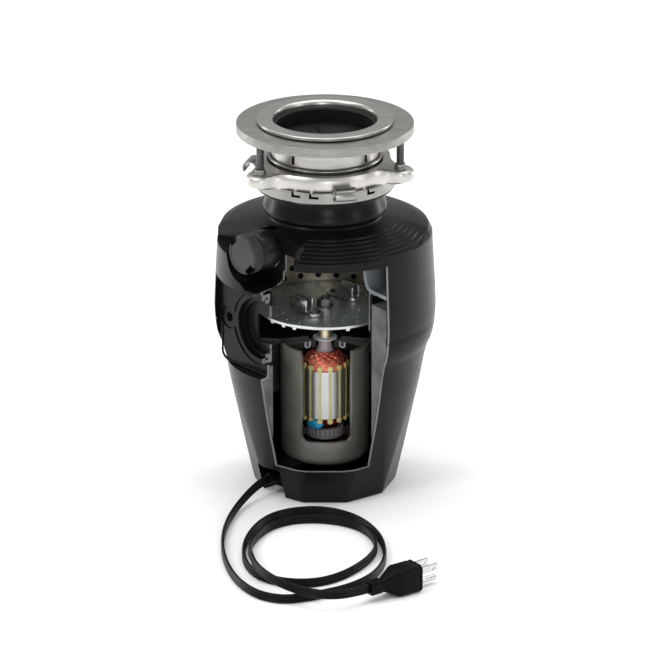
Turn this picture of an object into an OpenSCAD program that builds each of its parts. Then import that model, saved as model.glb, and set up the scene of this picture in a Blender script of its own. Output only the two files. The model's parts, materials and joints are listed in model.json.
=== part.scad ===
// Kitchen garbage disposal, made as a cut-away display unit with its cord and plug.
// Millimetres, +Z up. The origin is the centre of the base, on the surface it stands on.
// Azimuths are in degrees, from the front (-Y) towards the right (+X).

/* [Sink mount] */
// Outer diameter of the sink flange's rim
flange_d = 114.3; // [112:0.1:116]
// Inner diameter of the flange's drain throat
throat_d = 87; // [86.8:0.1:87.4]
// Outer diameter of the backup ring
backup_ring_d = 148.5; // [146:0.5:152]
// Height of the backup ring's top face
backup_ring_z = 320; // [319.5:0.5:320.5]
// Outer diameter of the lock ring
lock_ring_d = 119; // [118.6:0.1:119.2]
// Diameter of the three mounting screws
mount_screw_d = 6.8; // [6:0.1:7]
// Distance from the axis to each mounting screw
mount_screw_reach = 67.7; // [67:0.1:68.2]

/* [Housing] */
// Radius of the housing at its widest, under the shoulder
body_r = 93.5; // [93:0.1:95]
// Radius of the base over its corners
base_r = 60; // [59.8:0.1:61]
// Height of the seam between the two housings
seam_z = 150; // [149:0.5:151]
// Wall thickness of the housings
wall = 2.5; // [2:0.1:2.6]
// Number of flat sides at the base
base_sides = 10; // [10]

/* [Cut-away] */
// Azimuth of the right cut face
cut_right = 35; // [33:0.5:36]
// Azimuth of the left cut face, below the discharge port
cut_left = -40; // [-41:0.5:-39]
// Azimuth of the left cut face, through the discharge port
cut_port = -46; // [-47:0.5:-45]
// Height of the bottom edge of the cut
cut_bottom = 31; // [30:0.5:34]
// Height of the top edge of the cut
cut_top = 218; // [216:0.5:219]

/* [Grinding] */
// Radius of the turntable
turntable_r = 57; // [56:0.1:57.4]
// Height of the turntable's top face
turntable_z = 158; // [157.8:0.1:158.2]
// Distance from the axis to each lug's pivot
lug_reach = 27.7; // [27:0.1:28]
// Inner radius of the grind ring
grind_ring_r = 58.3; // [58:0.1:58.6]

/* [Motor] */
// Outer radius of the motor can
can_r = 37.8; // [37.5:0.1:38]
// Radius of the armature core
core_r = 20; // [19.5:0.1:20.2]
// Number of armature slots
core_slots = 14; // [12:2:16]
// Radius of the motor shaft
shaft_r = 4; // [3.9:0.05:4]

/* [Ports] */
// Azimuth of the discharge port's axis
port_azimuth = -50; // [-51:0.5:-49]
// Height of the discharge port's axis
port_z = 153; // [152:0.5:154]
// Bore radius of the discharge port
port_bore_r = 19.5; // [19:0.1:20]
// Azimuth of the dishwasher inlet's axis
inlet_azimuth = -49; // [-50:0.5:-48]
// Height of the dishwasher inlet's axis
inlet_z = 223; // [222:0.5:224]
// Outer radius of the inlet's cap
cap_r = 17; // [16.8:0.1:17.2]

/* [Cord] */
// Width of the flat cord, which stands on edge
cord_w = 8; // [7.6:0.1:8]
// Thickness of the flat cord
cord_t = 3; // [2.8:0.1:3]

/* [Hidden] */
$fn = 96;
tiny = 0.01;
play = 0.05;
body_clearance = 0.4;
screw_azimuths = [-52.5, 67.5, 187.5];
screw_r = mount_screw_d / 2;
ear_z = 278;
screw_foot = 1.2;          // how far the screws reach below the ears
driver_slot_w = 1.2;
driver_slot_depth = 1;
screw_top_gap = 0.2;
backup_ring_t = 3.2;
ear_t = 10;
lock_lug_azimuths = [15, 135, 255];
seam_r = body_r - 0.5;
shoulder_r = body_r - 3.2;
hopper_floor_z = 187.6;
grind_ring_t = 1.5;
chamber_r = 63.7;
foam_r = 68;
foam_top_z = 178;
turntable_t = 2.4;
lug_z = turntable_z + 0.3;
lug_t = 2.6;
lug_pivot_azimuths = [-16.8, 163.2];
can_bottom_z = 24;
can_top_z = 126.5;
can_wall = 3.2;
core_bottom_z = 61;
core_top_z = 103.5;
slot_w = 2.4;
liner_w = 2;
pocket_plane = 74;
port_face = 73;
port_collar_r = 31;
ear_offset = 37.7;
ear_hole_r = 4.2;
cord_pocket_azimuth = -50;
cord_pocket_half_w = 14;
cord_pocket_plane = 42;
cord_pocket_top = 26;
plug_azimuth = 126;
plug_z = 11.6;
plug_half_w = 10;
plug_half_h = 11.5;
plug_flare_start = 11;
plug_flare_end = 26;
plug_face = 47;
base_screw_azimuths = [18, 90, 162, 234];
base_screw_reach = 46;
// Points of the cord's centre line, from the strain relief to the plug
cord_route = [
    [-43.7, -36.7, 15], [-49.5, -41.6, 14.5], [-56, -47.6, 12.7], [-62.5, -55.5, 9.8],
    [-69, -67, 6.8], [-75.5, -84, 4.7], [-81, -108, 4.05], [-84, -134, 4.05], [-84.5, -158, 4.05], [-83, -182, 4.05],
    [-79, -206, 4.05], [-73, -228, 4.05], [-65, -246, 4.05], [-55, -260, 4.05], [-44, -268, 4.05],
    [-31.5, -271, 4.05], [-18.5, -268, 4.05], [-3.5, -261.5, 4.05], [12, -253, 4.05], [25.5, -242, 4.05],
    [37, -227, 4.05], [45, -208.5, 4.05], [48.8, -188, 4.05], [48.9, -169, 4.05], [46.7, -150, 4.05],
    [41.6, -131.5, 4.05], [34, -114.5, 4.05], [23.5, -100, 4.05], [9.5, -89, 4.05], [-6.5, -84, 4.05],
    [-22, -85.5, 4.05], [-35.5, -91.5, 4.05], [-46.5, -101.5, 4.05], [-55, -116, 4.05],
    [-61.5, -134, 4.05], [-65.5, -152.5, 4.05], [-67, -172, 4.05], [-65.8, -191, 4.05],
    [-61.3, -208.5, 4.05], [-53.5, -222.5, 4.05], [-42, -232, 4.05], [-28, -237.5, 4.05],
    [-13.5, -238, 4.05], [0, -233.5, 4.05], [13, -223.5, 4.05], [25, -208.5, 4.05],
    [35, -190.5, 4.05], [41, -172, 4.05], [41.8, -155.5, 4.05], [39, -140, 4.05], [33.3, -127, 4.05],
    [24.5, -115.5, 4.05], [11.5, -107, 4.05], [-4, -102.5, 4.05], [-20, -103, 4.05], [-34, -108.5, 4.05],
    [-46, -120, 4.05], [-55, -137, 4.2], [-60.3, -156, 5.2], [-61.9, -172, 7.4], [-61.6, -188, 10.4],
    [-60, -203, 12.5], [-57, -219, 12.7], [-51.8, -233.5, 12.7], [-44, -247.5, 12.7],
    [-34, -260.5, 12.7], [-22.5, -271.5, 12.7], [-9, -279.5, 12.7], [3, -282.5, 12.7],
    [14.5, -280.5, 12.4], [25.5, -274.5, 12], [35.5, -267.2, 11.6]
];

// A point at radius r and azimuth a, in the plan view
function polar(r, a) = [r * sin(a), -r * cos(a)];

// Radius of the base's flat sides' corner at height z
function flat_corner_r(z) = base_r + 0.267 * z;

// Places what is built towards -Y at azimuth a
module at_azimuth(a) {
    rotate([0, 0, a]) children();
}

// Turns what is built along +Z so that it points outward at azimuth a, at height z
module outward(a, z) {
    rotate([0, 0, a]) translate([0, 0, z]) rotate([90, 0, 0]) children();
}

module revolve(outline) {
    rotate_extrude() polygon(outline);
}

module ring(inner, outer, bottom, top) {
    revolve([[inner, bottom], [outer, bottom], [outer, top], [inner, top]]);
}

// Wedge between two azimuths and two heights
module wedge(from, to, bottom, top, reach = 150) {
    step = (to - from) / 6;
    corners = concat([[0, 0]], [for (i = [0:6]) polar(reach, from + i * step)]);
    translate([0, 0, bottom]) linear_extrude(top - bottom) polygon(corners);
}

// The piece taken out of both housings and what they hold
module cut_away() {
    wedge(cut_left, cut_right, cut_bottom, port_z);
    wedge(cut_port, cut_right, port_z - 25, 190);
    wedge(-30, cut_right, port_z, 199);
    wedge(-24, cut_right, port_z, cut_top);
    wedge(-24, -17, port_z, cut_top + 8);
}

// Flat recess around the discharge port, grown by g
module port_pocket(g = 0) {
    at_azimuth(port_azimuth)
        translate([-50 - g, -pocket_plane + g - 60, 114 - g]) cube([115 + 2 * g, 60, 76 + 2 * g]);
}

// Scoop around the dishwasher inlet, open at the top, grown by g
module inlet_pocket(g = 0) {
    at_azimuth(inlet_azimuth) {
        translate([0, -pocket_plane + 4 + g, inlet_z]) rotate([90, 0, 0]) cylinder(r = 25 + g, h = 60);
        translate([-25 - g, -pocket_plane + 4 + g - 60, inlet_z]) cube([50 + 2 * g, 60, 60]);
    }
}

// Recess at the base where the cord comes out, grown by g
module cord_pocket(g = 0) {
    at_azimuth(cord_pocket_azimuth)
        translate([-cord_pocket_half_w - g, -cord_pocket_plane + g - 60, -1])
            cube([2 * (cord_pocket_half_w + g), 60, cord_pocket_top + 1 + g]);
}

// Solid inside the lower housing's outer face, moved in by inset
module lower_form(inset = 0, top = seam_z) {
    intersection() {
        revolve([
            [0, 0], [base_r - inset, 0], [84 - inset, 110], [88 - inset, 128],
            [seam_r - 1 - inset, 133.6], [seam_r - inset, top], [0, top]
        ]);
        linear_extrude(top, scale = flat_corner_r(top) / base_r)
            circle(r = base_r - inset / cos(180 / base_sides), $fn = base_sides);
    }
}

// Solid inside the upper housing's outer face, with its shoulder and its neck
module upper_form() {
    revolve([
        [0, seam_z], [seam_r, seam_z], [body_r, seam_z + 12], [shoulder_r, 224.5],
        [87.5, 230.5], [80, 234], [50, 241], [48.6, 242.6], [50.2, 245], [49.6, 252],
        [49, 262], [49, 269.6], [54, 269.6], [54, 272.1], [0, 272.1]
    ]);
}

// Room inside the upper housing, below its neck; the shoulder is thicker under the terraces
module upper_room() {
    revolve([
        [0, seam_z - 1], [seam_r - wall, seam_z - 1], [body_r - wall, seam_z + 12],
        [shoulder_r - wall, 219], [84, 223], [54, 234], [0, 234]
    ]);
}

// Steps down the shoulder from its smooth part to its edge
module terraces() {
    edges = [for (i = [0:6]) [63 + 4.55 * i, 237.2 - 2.03 * i]];
    steps = [for (edge = edges) each [edge, edge - [0, 1.5]]];
    rotate([0, 0, -105]) rotate_extrude(angle = 95)
        polygon(concat(steps, [[91, 250], [63, 250]]));
}

module sink_flange() {
    color("silver") revolve([
        [throat_d / 2, 286], [45, 286], [45, 317.5], [46.6, 321.4], [49.5, 323],
        [55.4, 323], [55.8, 321.6], [flange_d / 2, 321.6], [flange_d / 2, 324.4],
        [flange_d / 2 - 0.9, 325.3], [50, 325.5], [46.4, 324.2], [44.3, 321.6],
        [throat_d / 2, 318]
    ]);
}

module flange_gasket() {
    color("black") ring(50, 54.5, backup_ring_z, 323);
}

module backup_ring() {
    outer = backup_ring_d / 2;
    color("silver") revolve([
        [46, backup_ring_z - backup_ring_t], [outer - 2.3, backup_ring_z - backup_ring_t],
        [outer - 2.3, backup_ring_z - 7.4], [outer - 0.5, backup_ring_z - 7.4],
        [outer, backup_ring_z - 6.9], [outer, backup_ring_z - 0.8],
        [outer - 0.8, backup_ring_z], [46, backup_ring_z]
    ]);
}

module snap_ring() {
    color("silver") rotate([0, 0, 98]) rotate_extrude(angle = 344)
        translate([46.5, 291]) circle(r = 1.3, $fn = 24);
}

// Cast ring with three ears that carry the mounting screws
module mounting_ring() {
    color("gainsboro") difference() {
        union() {
            revolve([
                [47.6, 283], [49, 280], [54.6, 277.6], [56, 279], [56, 286.5],
                [54.5, 288.6], [48.2, 289], [47.6, 288]
            ]);
            for (a = screw_azimuths) at_azimuth(a) {
                translate([0, -mount_screw_reach, ear_z]) cylinder(r = 11.5, h = ear_t);
                translate([0, -(mount_screw_reach + 50) / 2, ear_z + ear_t / 2])
                    cube([26, mount_screw_reach - 50, ear_t], center = true);
            }
        }
        for (a = screw_azimuths) at_azimuth(a)
            translate([0, -mount_screw_reach, ear_z - 1]) cylinder(r = screw_r + play, h = ear_t + 2);
        cylinder(r = 47.6, h = 400);
    }
}

// One slotted hexagon screw; it bears on the backup ring and is turned from below
module mount_screw(index) {
    foot_z = ear_z - screw_foot;
    top_z = backup_ring_z - backup_ring_t - screw_top_gap;
    color("dimgray") at_azimuth(screw_azimuths[index]) translate([0, -mount_screw_reach, 0])
        difference() {
            translate([0, 0, foot_z]) cylinder(r = screw_r, h = top_z - foot_z);
            translate([-screw_r - 1, -driver_slot_w / 2, foot_z - 1])
                cube([2 * screw_r + 2, driver_slot_w, driver_slot_depth + 1]);
        }
}

module mount_screw_1() { mount_screw(0); }
module mount_screw_2() { mount_screw(1); }
module mount_screw_3() { mount_screw(2); }

module screw_collars() {
    color("silver") for (a = screw_azimuths) at_azimuth(a)
        translate([0, -mount_screw_reach, ear_z + ear_t]) difference() {
            union() {
                cylinder(r = 5.2, h = 1.6);
                cylinder(r = 4.4, h = 4);
            }
            translate([0, 0, -1]) cylinder(r = screw_r + play, h = 7);
        }
}

// Turning ring with three rolled lugs and its row of slots
module lock_ring() {
    outer = lock_ring_d / 2;
    color("silver") difference() {
        union() {
            revolve([
                [51, 266], [56, 266], [58.2, 266.9], [outer, 269], [outer, 277.4],
                [outer - 2, 277.4], [outer - 2, 269.6], [56.4, 268.2], [51, 268.2]
            ]);
            for (a = lock_lug_azimuths) at_azimuth(a) translate([-9, -63.2, 276])
                rotate([0, 90, 0]) cylinder(r = 6.4, h = 18);
        }
        for (a = lock_lug_azimuths) at_azimuth(a) {
            translate([-10, -63.2, 276]) rotate([0, 90, 0]) cylinder(r = 4.9, h = 20);
            for (b = [-39, -24, 25]) at_azimuth(b)
                translate([-4, -62, 271.5]) cube([8, 6, 2.2]);
            for (b = [-42, -27, 22]) at_azimuth(b)
                translate([-1, -62, 271.5]) cube([2.2, 6, 8]);
        }
        cylinder(r = 50, h = 400);
    }
}

module mount_gasket() {
    color("black") revolve([
        [45.3, 272.2], [54, 272.2], [54, 274.6], [47.3, 279], [47.3, 288], [45.3, 288]
    ]);
}

// Rubber baffle with slit flaps, lifted out through the flange
module splash_guard() {
    outer = throat_d / 2 - body_clearance;
    color("black") difference() {
        revolve([
            [0, 303], [outer - 2, 303], [outer - 2, 273], [outer, 273], [outer, 317.5],
            [outer - 1.4, 318.5], [outer - 2.2, 317.5], [outer - 2.2, 305.5], [0, 304.6]
        ]);
        translate([0, 0, 300]) cylinder(r = 5, h = 8);
        for (i = [0:5]) at_azimuth(15 + 60 * i) translate([-0.5, -30, 300]) cube([1, 27, 8]);
    }
}

// Black cover around the grinding chamber, with its neck and shoulder
module upper_housing() {
    color([0.1, 0.1, 0.11]) difference() {
        upper_form();
        difference() {
            upper_room();
            port_pocket(wall);
            inlet_pocket(wall);
        }
        translate([0, 0, seam_z - 2]) cylinder(r = 47, h = 130);
        translate([0, 0, seam_z - 2]) cylinder(r = foam_r + 0.3, h = 44);
        port_pocket();
        inlet_pocket();
        terraces();
        outward(inlet_azimuth, inlet_z) translate([0, 0, 57]) cylinder(r = 20.4, h = 47);
        port_opening();
        cut_away();
    }
}

// Hole in the pocket wall for the port's collar and its screw ear
module port_opening() {
    outward(port_azimuth, port_z) {
        translate([0, 0, 66]) cylinder(r = port_collar_r + 0.4, h = 30);
        translate([-ear_offset, 0, 66]) cylinder(r = 9.9, h = 30);
        translate([-ear_offset, -6.9, 66]) cube([20, 13.8, 30]);
    }
}

// Black tapering cover around the motor; round at the seam, ten-sided at the base
module lower_housing() {
    color([0.1, 0.1, 0.11]) difference() {
        lower_form();
        difference() {
            translate([0, 0, -tiny]) lower_form(wall, seam_z + 2 * tiny);
            port_pocket(wall);
            cord_pocket(wall);
        }
        translate([0, 0, 90]) cylinder(r = foam_r, h = 100);
        port_pocket();
        cord_pocket();
        port_opening();
        outward(cord_pocket_azimuth, 15) translate([0, 0, 20]) cylinder(r = 7.4, h = 60);
        cut_away();
    }
}

module seam_gasket() {
    color("black") difference() {
        ring(88.6, seam_r - wall - 0.8, seam_z - 4, seam_z + 4);
        port_pocket(wall + 0.2);
        cut_away();
    }
}

// Sound-deadening foam between the housings and the works
module insulation() {
    gap = 0.3;
    color("gray") difference() {
        union() {
            intersection() {
                lower_form(wall + gap);
                ring(foam_r, body_r, 58, seam_z - 4.2);
            }
            ring(foam_r, 88.4, seam_z - 4.3, foam_top_z);
        }
        port_pocket(wall + gap);
        outward(port_azimuth, port_z) {
            cylinder(r = port_collar_r + 2, h = 100);
            translate([-ear_offset, 0, 0]) cylinder(r = 12, h = 100);
        }
        cut_away();
    }
}

// Funnel that leads waste down to the turntable
module hopper() {
    color("lightsteelblue") difference() {
        revolve([
            [43.8, 272], [43.8, 233], [52, 221], [55, 205], [56.5, 197], [59, 191.4],
            [62, 188.6], [66, hopper_floor_z], [88.4, hopper_floor_z], [88.4, hopper_floor_z + 3],
            [67, hopper_floor_z + 3], [63.8, 191.8], [61.5, 194.5], [59.6, 199], [58.1, 205.5],
            [55, 222], [46.8, 234], [46.8, 272]
        ]);
        port_pocket(wall + 0.2);
        wedge(cut_port, cut_right, seam_z, cut_top);
    }
}

// Stationary perforated ring that the lugs throw waste against
module grind_ring() {
    outer = grind_ring_r + grind_ring_t;
    color("darkkhaki") difference() {
        revolve([
            [grind_ring_r, 151], [outer, 151], [outer, 184], [66.5, 184], [66.5, 185.5],
            [grind_ring_r, 185.5]
        ]);
        wedge(-52, 39, 140, 190);
        for (i = [0:17]) {
            outward(48 + 15.3 * i, 164) ring_hole();
            outward(55.6 + 15.3 * i, 172) ring_hole();
        }
    }
}

module ring_hole() {
    translate([0, 0, grind_ring_r - 4]) cylinder(r = 2.5, h = 9, $fn = 24);
}

module grind_ring_gasket() {
    color("black") difference() {
        ring(60.5, 66.3, 185.5, hopper_floor_z);
        wedge(-52, 39, 140, 190);
    }
}

// Bowl under the turntable, open to the discharge port
module drain_chamber() {
    inner = chamber_r - wall;
    color([0.12, 0.12, 0.14]) difference() {
        revolve([
            [14, 128], [40, 128], [chamber_r, 131], [chamber_r, 184], [inner, 184],
            [inner, 133.6], [40, 130.5], [14, 130.5]
        ]);
        wedge(-46, 38, 100, 200);
        wedge(-75, 75, 100, 133);
        outward(port_azimuth, port_z) cylinder(r = port_bore_r, h = 100);
    }
}

module turntable() {
    color("lightgray") difference() {
        revolve([
            [0, turntable_z - turntable_t], [6, turntable_z - turntable_t],
            [turntable_r - 1.6, turntable_z - turntable_t], [turntable_r - 1.6, turntable_z - 4.4],
            [turntable_r, turntable_z - 4.4], [turntable_r, turntable_z - 0.8],
            [turntable_r - 0.8, turntable_z], [0, turntable_z]
        ]);
        translate([0, 0, turntable_z - 10]) cylinder(r = shaft_r, h = 20);
        for (a = lug_pivot_azimuths) at_azimuth(a)
            translate([0, -lug_reach, turntable_z - 10]) cylinder(r = 2, h = 20);
    }
}

// Swivelling impeller lug with its raised blade
module lug(index) {
    color("silver") at_azimuth(lug_pivot_azimuths[index]) translate([0, -lug_reach, lug_z])
        rotate([0, 0, -27.4]) difference() {
            union() {
                cylinder(r = 7, h = lug_t);
                translate([-22, -6, 0]) cube([22, 12, lug_t]);
                translate([-22, 0, 0]) cylinder(r = 6, h = lug_t);
                translate([-24, 2.6, 0]) cube([19, 2.4, 11]);
            }
            translate([0, 0, -1]) cylinder(r = 3 + play, h = 10);
        }
}

module lug_a() { lug(0); }
module lug_b() { lug(1); }

module lug_rivets() {
    color("gainsboro") for (a = lug_pivot_azimuths) at_azimuth(a)
        translate([0, -lug_reach, 0]) {
            translate([0, 0, turntable_z - turntable_t]) cylinder(r = 2, h = turntable_t);
            translate([0, 0, turntable_z]) cylinder(r = 3, h = lug_t + 0.6);
            translate([0, 0, turntable_z + lug_t + 0.6]) cylinder(r1 = 4.6, r2 = 3, h = 1.8);
            translate([0, 0, turntable_z - turntable_t - 1.4]) cylinder(r1 = 3, r2 = 4, h = 1.4);
        }
}

module hub_nut() {
    color("gainsboro") difference() {
        union() {
            translate([0, 0, turntable_z]) cylinder(r = 7.4, h = 1.2);
            translate([0, 0, turntable_z + 1.2]) cylinder(r = 6.6, h = 4.2, $fn = 6);
        }
        translate([0, 0, turntable_z - 1]) cylinder(r = shaft_r, h = 8);
    }
}

module motor_shaft() {
    color("gainsboro") {
        translate([0, 0, 28.5]) cylinder(r = shaft_r, h = turntable_z + 6.4 - 28.5);
        translate([0, 0, turntable_z + 6.4]) cylinder(r1 = shaft_r, r2 = 3, h = 1);
    }
}

module shaft_sleeve() {
    color("burlywood") revolve([
        [shaft_r, 128.6], [6.3, 128.6], [6.3, 137], [8.4, 146], [11, turntable_z - turntable_t],
        [shaft_r, turntable_z - turntable_t]
    ]);
}

module slinger_washer() {
    color("white") revolve([
        [shaft_r, 127.2], [8.6, 127.2], [10.6, 128.2], [10.6, 128.9], [6.4, 128.5],
        [shaft_r, 128.5]
    ]);
}

module shaft_collar() {
    color([0.62, 0.57, 0.6]) ring(shaft_r, 7.3, 114, 127.1);
}

// Back half of the split bush that the shaft turns in
module upper_bearing() {
    color("peru") difference() {
        ring(7.3 + play, 12, 118.5, 126.4);
        wedge(-90, 90, 100, 140);
    }
}

module bearing_retainer() {
    color("white") difference() {
        revolve([
            [12.05, 125.6], [12.05, 120.6], [13.4, 118.6], [15.6, 118.2], [17.2, 119.4],
            [17.2, 123.4], [16.4, 123.4], [16.4, 119.9], [15.3, 119], [13.8, 119.4],
            [12.9, 121], [12.9, 125.6]
        ]);
        wedge(-90, 90, 100, 140);
    }
}

// Plate that closes the motor and carries its upper bush
module upper_end_frame() {
    color([0.15, 0.15, 0.17]) difference() {
        revolve([
            [12.05, 125.7], [34.4, 123], [34.4, 126.6], [44, 126.6], [44, 127.9], [12.05, 127.9]
        ]);
        wedge(-75, 75, 100, 140);
    }
}

// Deep-drawn steel case of the motor, with its window
module motor_can() {
    edge = [for (a = [0:15:90]) [can_r - 8 + 8 * sin(a), can_bottom_z + 8 - 8 * cos(a)]];
    inner = can_r - can_wall;
    color([0.45, 0.46, 0.44]) difference() {
        revolve(concat([[9, can_bottom_z]], edge, [
            [can_r, can_top_z], [inner, can_top_z], [inner, can_bottom_z + 8],
            [inner - 4, can_bottom_z + 4], [9, can_bottom_z + 3.2]
        ]));
        wedge(-33, 37.6, 46, 140);
    }
}

module magnet(azimuth) {
    color([0.16, 0.16, 0.17]) intersection() {
        ring(23, can_r - can_wall, 56, 108);
        wedge(azimuth - 36, azimuth + 36, 50, 120);
    }
}

module magnet_left() { magnet(-100); }
module magnet_right() { magnet(100); }

module armature_core() {
    height = core_top_z - core_bottom_z;
    color("whitesmoke") difference() {
        ring(shaft_r, core_r, core_bottom_z, core_top_z);
        for (i = [0:core_slots - 1]) at_azimuth((i + 0.5) * 360 / core_slots)
            translate([-slot_w / 2, -core_r - 1, core_bottom_z - 1]) cube([slot_w, 9, height + 2]);
    }
}

// Yellow insulating strips with round tabs at both ends
module slot_liners() {
    color([0.86, 0.8, 0.45]) for (i = [0:core_slots - 1])
        at_azimuth((i + 0.5) * 360 / core_slots) {
            translate([-liner_w / 2, -core_r - 0.2, core_bottom_z - 3])
                cube([liner_w, 8, core_top_z - core_bottom_z + 6]);
            for (z = [core_bottom_z - 2.4, core_top_z + 2.4])
                translate([0, -18.4, z]) rotate([90, 0, 0]) cylinder(r = 2.35, h = 1.5, $fn = 24);
        }
}

module winding_top() {
    color([0.72, 0.3, 0.2]) difference() {
        revolve([
            [7.4, core_top_z + 0.1], [18.2, core_top_z + 0.1], [18.3, 108], [16.4, 113.4],
            [12, 117.4], [7.4, 118.2]
        ]);
        for (i = [0:core_slots - 1]) at_azimuth((i + 0.5) * 360 / core_slots)
            translate([-liner_w / 2 - 0.1, -core_r, core_top_z - 1]) cube([liner_w + 0.2, 8.2, 4.2]);
    }
}

module winding_bottom() {
    color([0.45, 0.16, 0.12]) difference() {
        revolve([
            [7.4, core_bottom_z - 0.1], [7.4, 46], [10.6, 46], [11, 50], [14.5, 53.5],
            [17.8, 57.5], [18.2, core_bottom_z - 0.1]
        ]);
        for (i = [0:core_slots - 1]) at_azimuth((i + 0.5) * 360 / core_slots)
            translate([-liner_w / 2 - 0.1, -core_r, core_bottom_z - 3.2]) cube([liner_w + 0.2, 8.2, 4.2]);
    }
}

// Blob of putty that balances the armature
module balancing_putty() {
    color([0.1, 0.55, 0.75]) difference() {
        at_azimuth(-35) translate([0, -15.4, 53.6]) sphere(r = 5.2, $fn = 32);
        revolve([
            [0, 40], [24, 40], [24, 49.9], [11.1, 49.9], [14.6, 53.4], [17.9, 57.4], [18.3, 70], [0, 70]
        ]);
        translate([-30, -30, 56.1]) cube([60, 60, 10]);
    }
}

module commutator() {
    color("gray") difference() {
        revolve([
            [shaft_r, 41], [15.5, 41], [15.5, 49.6], [11.8, 49.6], [11.8, 45], [shaft_r, 45]
        ]);
        for (i = [0:23]) at_azimuth(15 * i) translate([-0.5, -17, 43]) cube([1, 3.4, 9]);
    }
}

// Insulating plate that carries the two brush holders
module brush_plate() {
    color("saddlebrown") {
        ring(12, can_r - can_wall, 36, 38.4);
        for (side = [-1, 1]) difference() {
            translate([side * 25.5, 0, 44]) cube([15, 9, 11.2], center = true);
            translate([side * 25.5, 0, 44]) cube([16, 6, 6.2], center = true);
        }
    }
}

module brushes() {
    color("dimgray") for (side = [-1, 1])
        translate([side * 20.6, 0, 44]) cube([9.6, 5.8, 6], center = true);
}

module brush_springs() {
    color("silver") for (side = [-1, 1], i = [0:2])
        translate([side * (26.4 + 2.3 * i), 0, 44]) rotate([0, 90, 0])
            rotate_extrude() translate([2.1, 0]) circle(r = 0.45, $fn = 16);
}

module lower_bearing() {
    color("peru") difference() {
        ring(shaft_r + play, 9, can_bottom_z + 0.5, 34);
        cylinder(r = shaft_r + play, h = 100);
    }
}

// Moulded elbow that a dishwasher's drain hose pushes on to
module inlet_nipple() {
    color([0.12, 0.12, 0.13]) outward(inlet_azimuth, inlet_z) difference() {
        revolve([
            [11, 59.5], [17.5, 59.5], [19.4, 64], [19.8, 70], [19, 75], [17.4, 78.6],
            [14.9, 80], [14.9, 86], [11, 86]
        ]);
        translate([0, 0, 50]) cylinder(r = 11, h = 40);
    }
}

module inlet_cap() {
    color([0.2, 0.2, 0.21]) outward(inlet_azimuth, inlet_z) difference() {
        revolve([
            [0, 86.4], [15.2, 86.4], [15.2, 80.6], [cap_r, 80.6], [cap_r, 91.4],
            [cap_r - 0.8, 92.2], [0, 92.2]
        ]);
        for (a = [50, 230]) rotate([0, 0, a]) translate([-4, cap_r - 4.5, 88]) cube([8, 6, 6]);
    }
}

// Stepped outlet with its screw ear; its right part is cut away with the housing
module discharge_port() {
    color([0.15, 0.15, 0.16]) difference() {
        outward(port_azimuth, port_z) difference() {
            union() {
                translate([0, 0, 64.6]) cylinder(r = port_collar_r, h = port_face - 64.6);
                translate([-ear_offset, 0, 67]) cylinder(r = 9.4, h = port_face - 67);
                translate([-ear_offset, -6.5, 67]) cube([20, 13, port_face - 67]);
            }
            translate([0, 0, 60]) cylinder(r = port_bore_r, h = 20);
            translate([0, 0, 68]) cylinder(r = 24, h = 20);
            translate([0, 0, 70.6]) cylinder(r = 28, h = 20);
            translate([-ear_offset, 0, 60]) cylinder(r = ear_hole_r, h = 20);
        }
        wedge(cut_port, cut_right, 100, 200);
    }
}

module discharge_gasket() {
    color("black") difference() {
        outward(port_azimuth, port_z) difference() {
            translate([0, 0, 50]) cylinder(r = 25, h = 14.5);
            translate([0, 0, 49]) cylinder(r = port_bore_r + 0.3, h = 20);
        }
        cylinder(r = chamber_r + 0.1, h = 300);
        wedge(cut_port, cut_right, 100, 200);
    }
}

module base_plate() {
    color([0.12, 0.12, 0.13]) difference() {
        cylinder(r = 56.6, h = 2.6, $fn = base_sides);
        cord_pocket(wall + 0.4);
        translate([0, 24, -1]) cylinder(r = 4.6, h = 5);
        for (a = base_screw_azimuths)
            at_azimuth(a) translate([0, -base_screw_reach, -1]) cylinder(r = 2.3, h = 5);
    }
}

// Screws that hold the base plate, each with its own boss nut
module housing_screws() {
    color("silver") for (a = base_screw_azimuths) at_azimuth(a) translate([0, -base_screw_reach, 0]) {
        translate([0, 0, 0.6]) cylinder(r = 2.2, h = 9.4);
        translate([0, 0, 2.7]) cylinder(r = 4.6, h = 3.4, $fn = 6);
    }
}

module overload_protector() {
    color([0.2, 0.2, 0.2]) difference() {
        translate([-13, 14, 2.7]) cube([26, 20, 17]);
        translate([0, 24, 2]) cylinder(r = 4 + play, h = 14);
    }
}

// Red button under the base, pressed upwards to restart the motor
module reset_button() {
    color("red") translate([0, 24, 0.8]) cylinder(r = 4, h = 11);
}

module strain_relief() {
    color("black") outward(cord_pocket_azimuth, 15) {
        translate([0, 0, 34]) cylinder(r = 10, h = 5.4);
        translate([0, 0, 39.4 - tiny]) cylinder(r = 7.2, h = 3);
        translate([0, 0, 42.4 - 2 * tiny]) cylinder(r1 = 6.4, r2 = 4.4, h = 20);
    }
}

// Unit direction from one route point to the next, level with the floor
function level_dir(a, b) =
    let (d = [b[0] - a[0], b[1] - a[1]]) d / norm(d);

// Corners of the cord's flat section at route point i
function cord_ring(i) =
    let (
        last = len(cord_route) - 1,
        before = cord_route[max(i - 1, 0)],
        after = cord_route[min(i + 1, last)],
        along = level_dir(before, after),
        side = [along[1], -along[0], 0]
    )
    [for (k = [0:7])
        let (a = 45 * k + 22.5)
        cord_route[i] + side * (cord_t / 2) * cos(a) / cos(22.5)
            + [0, 0, 1] * (cord_w / 2) * sin(a) / sin(67.5)];

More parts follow.
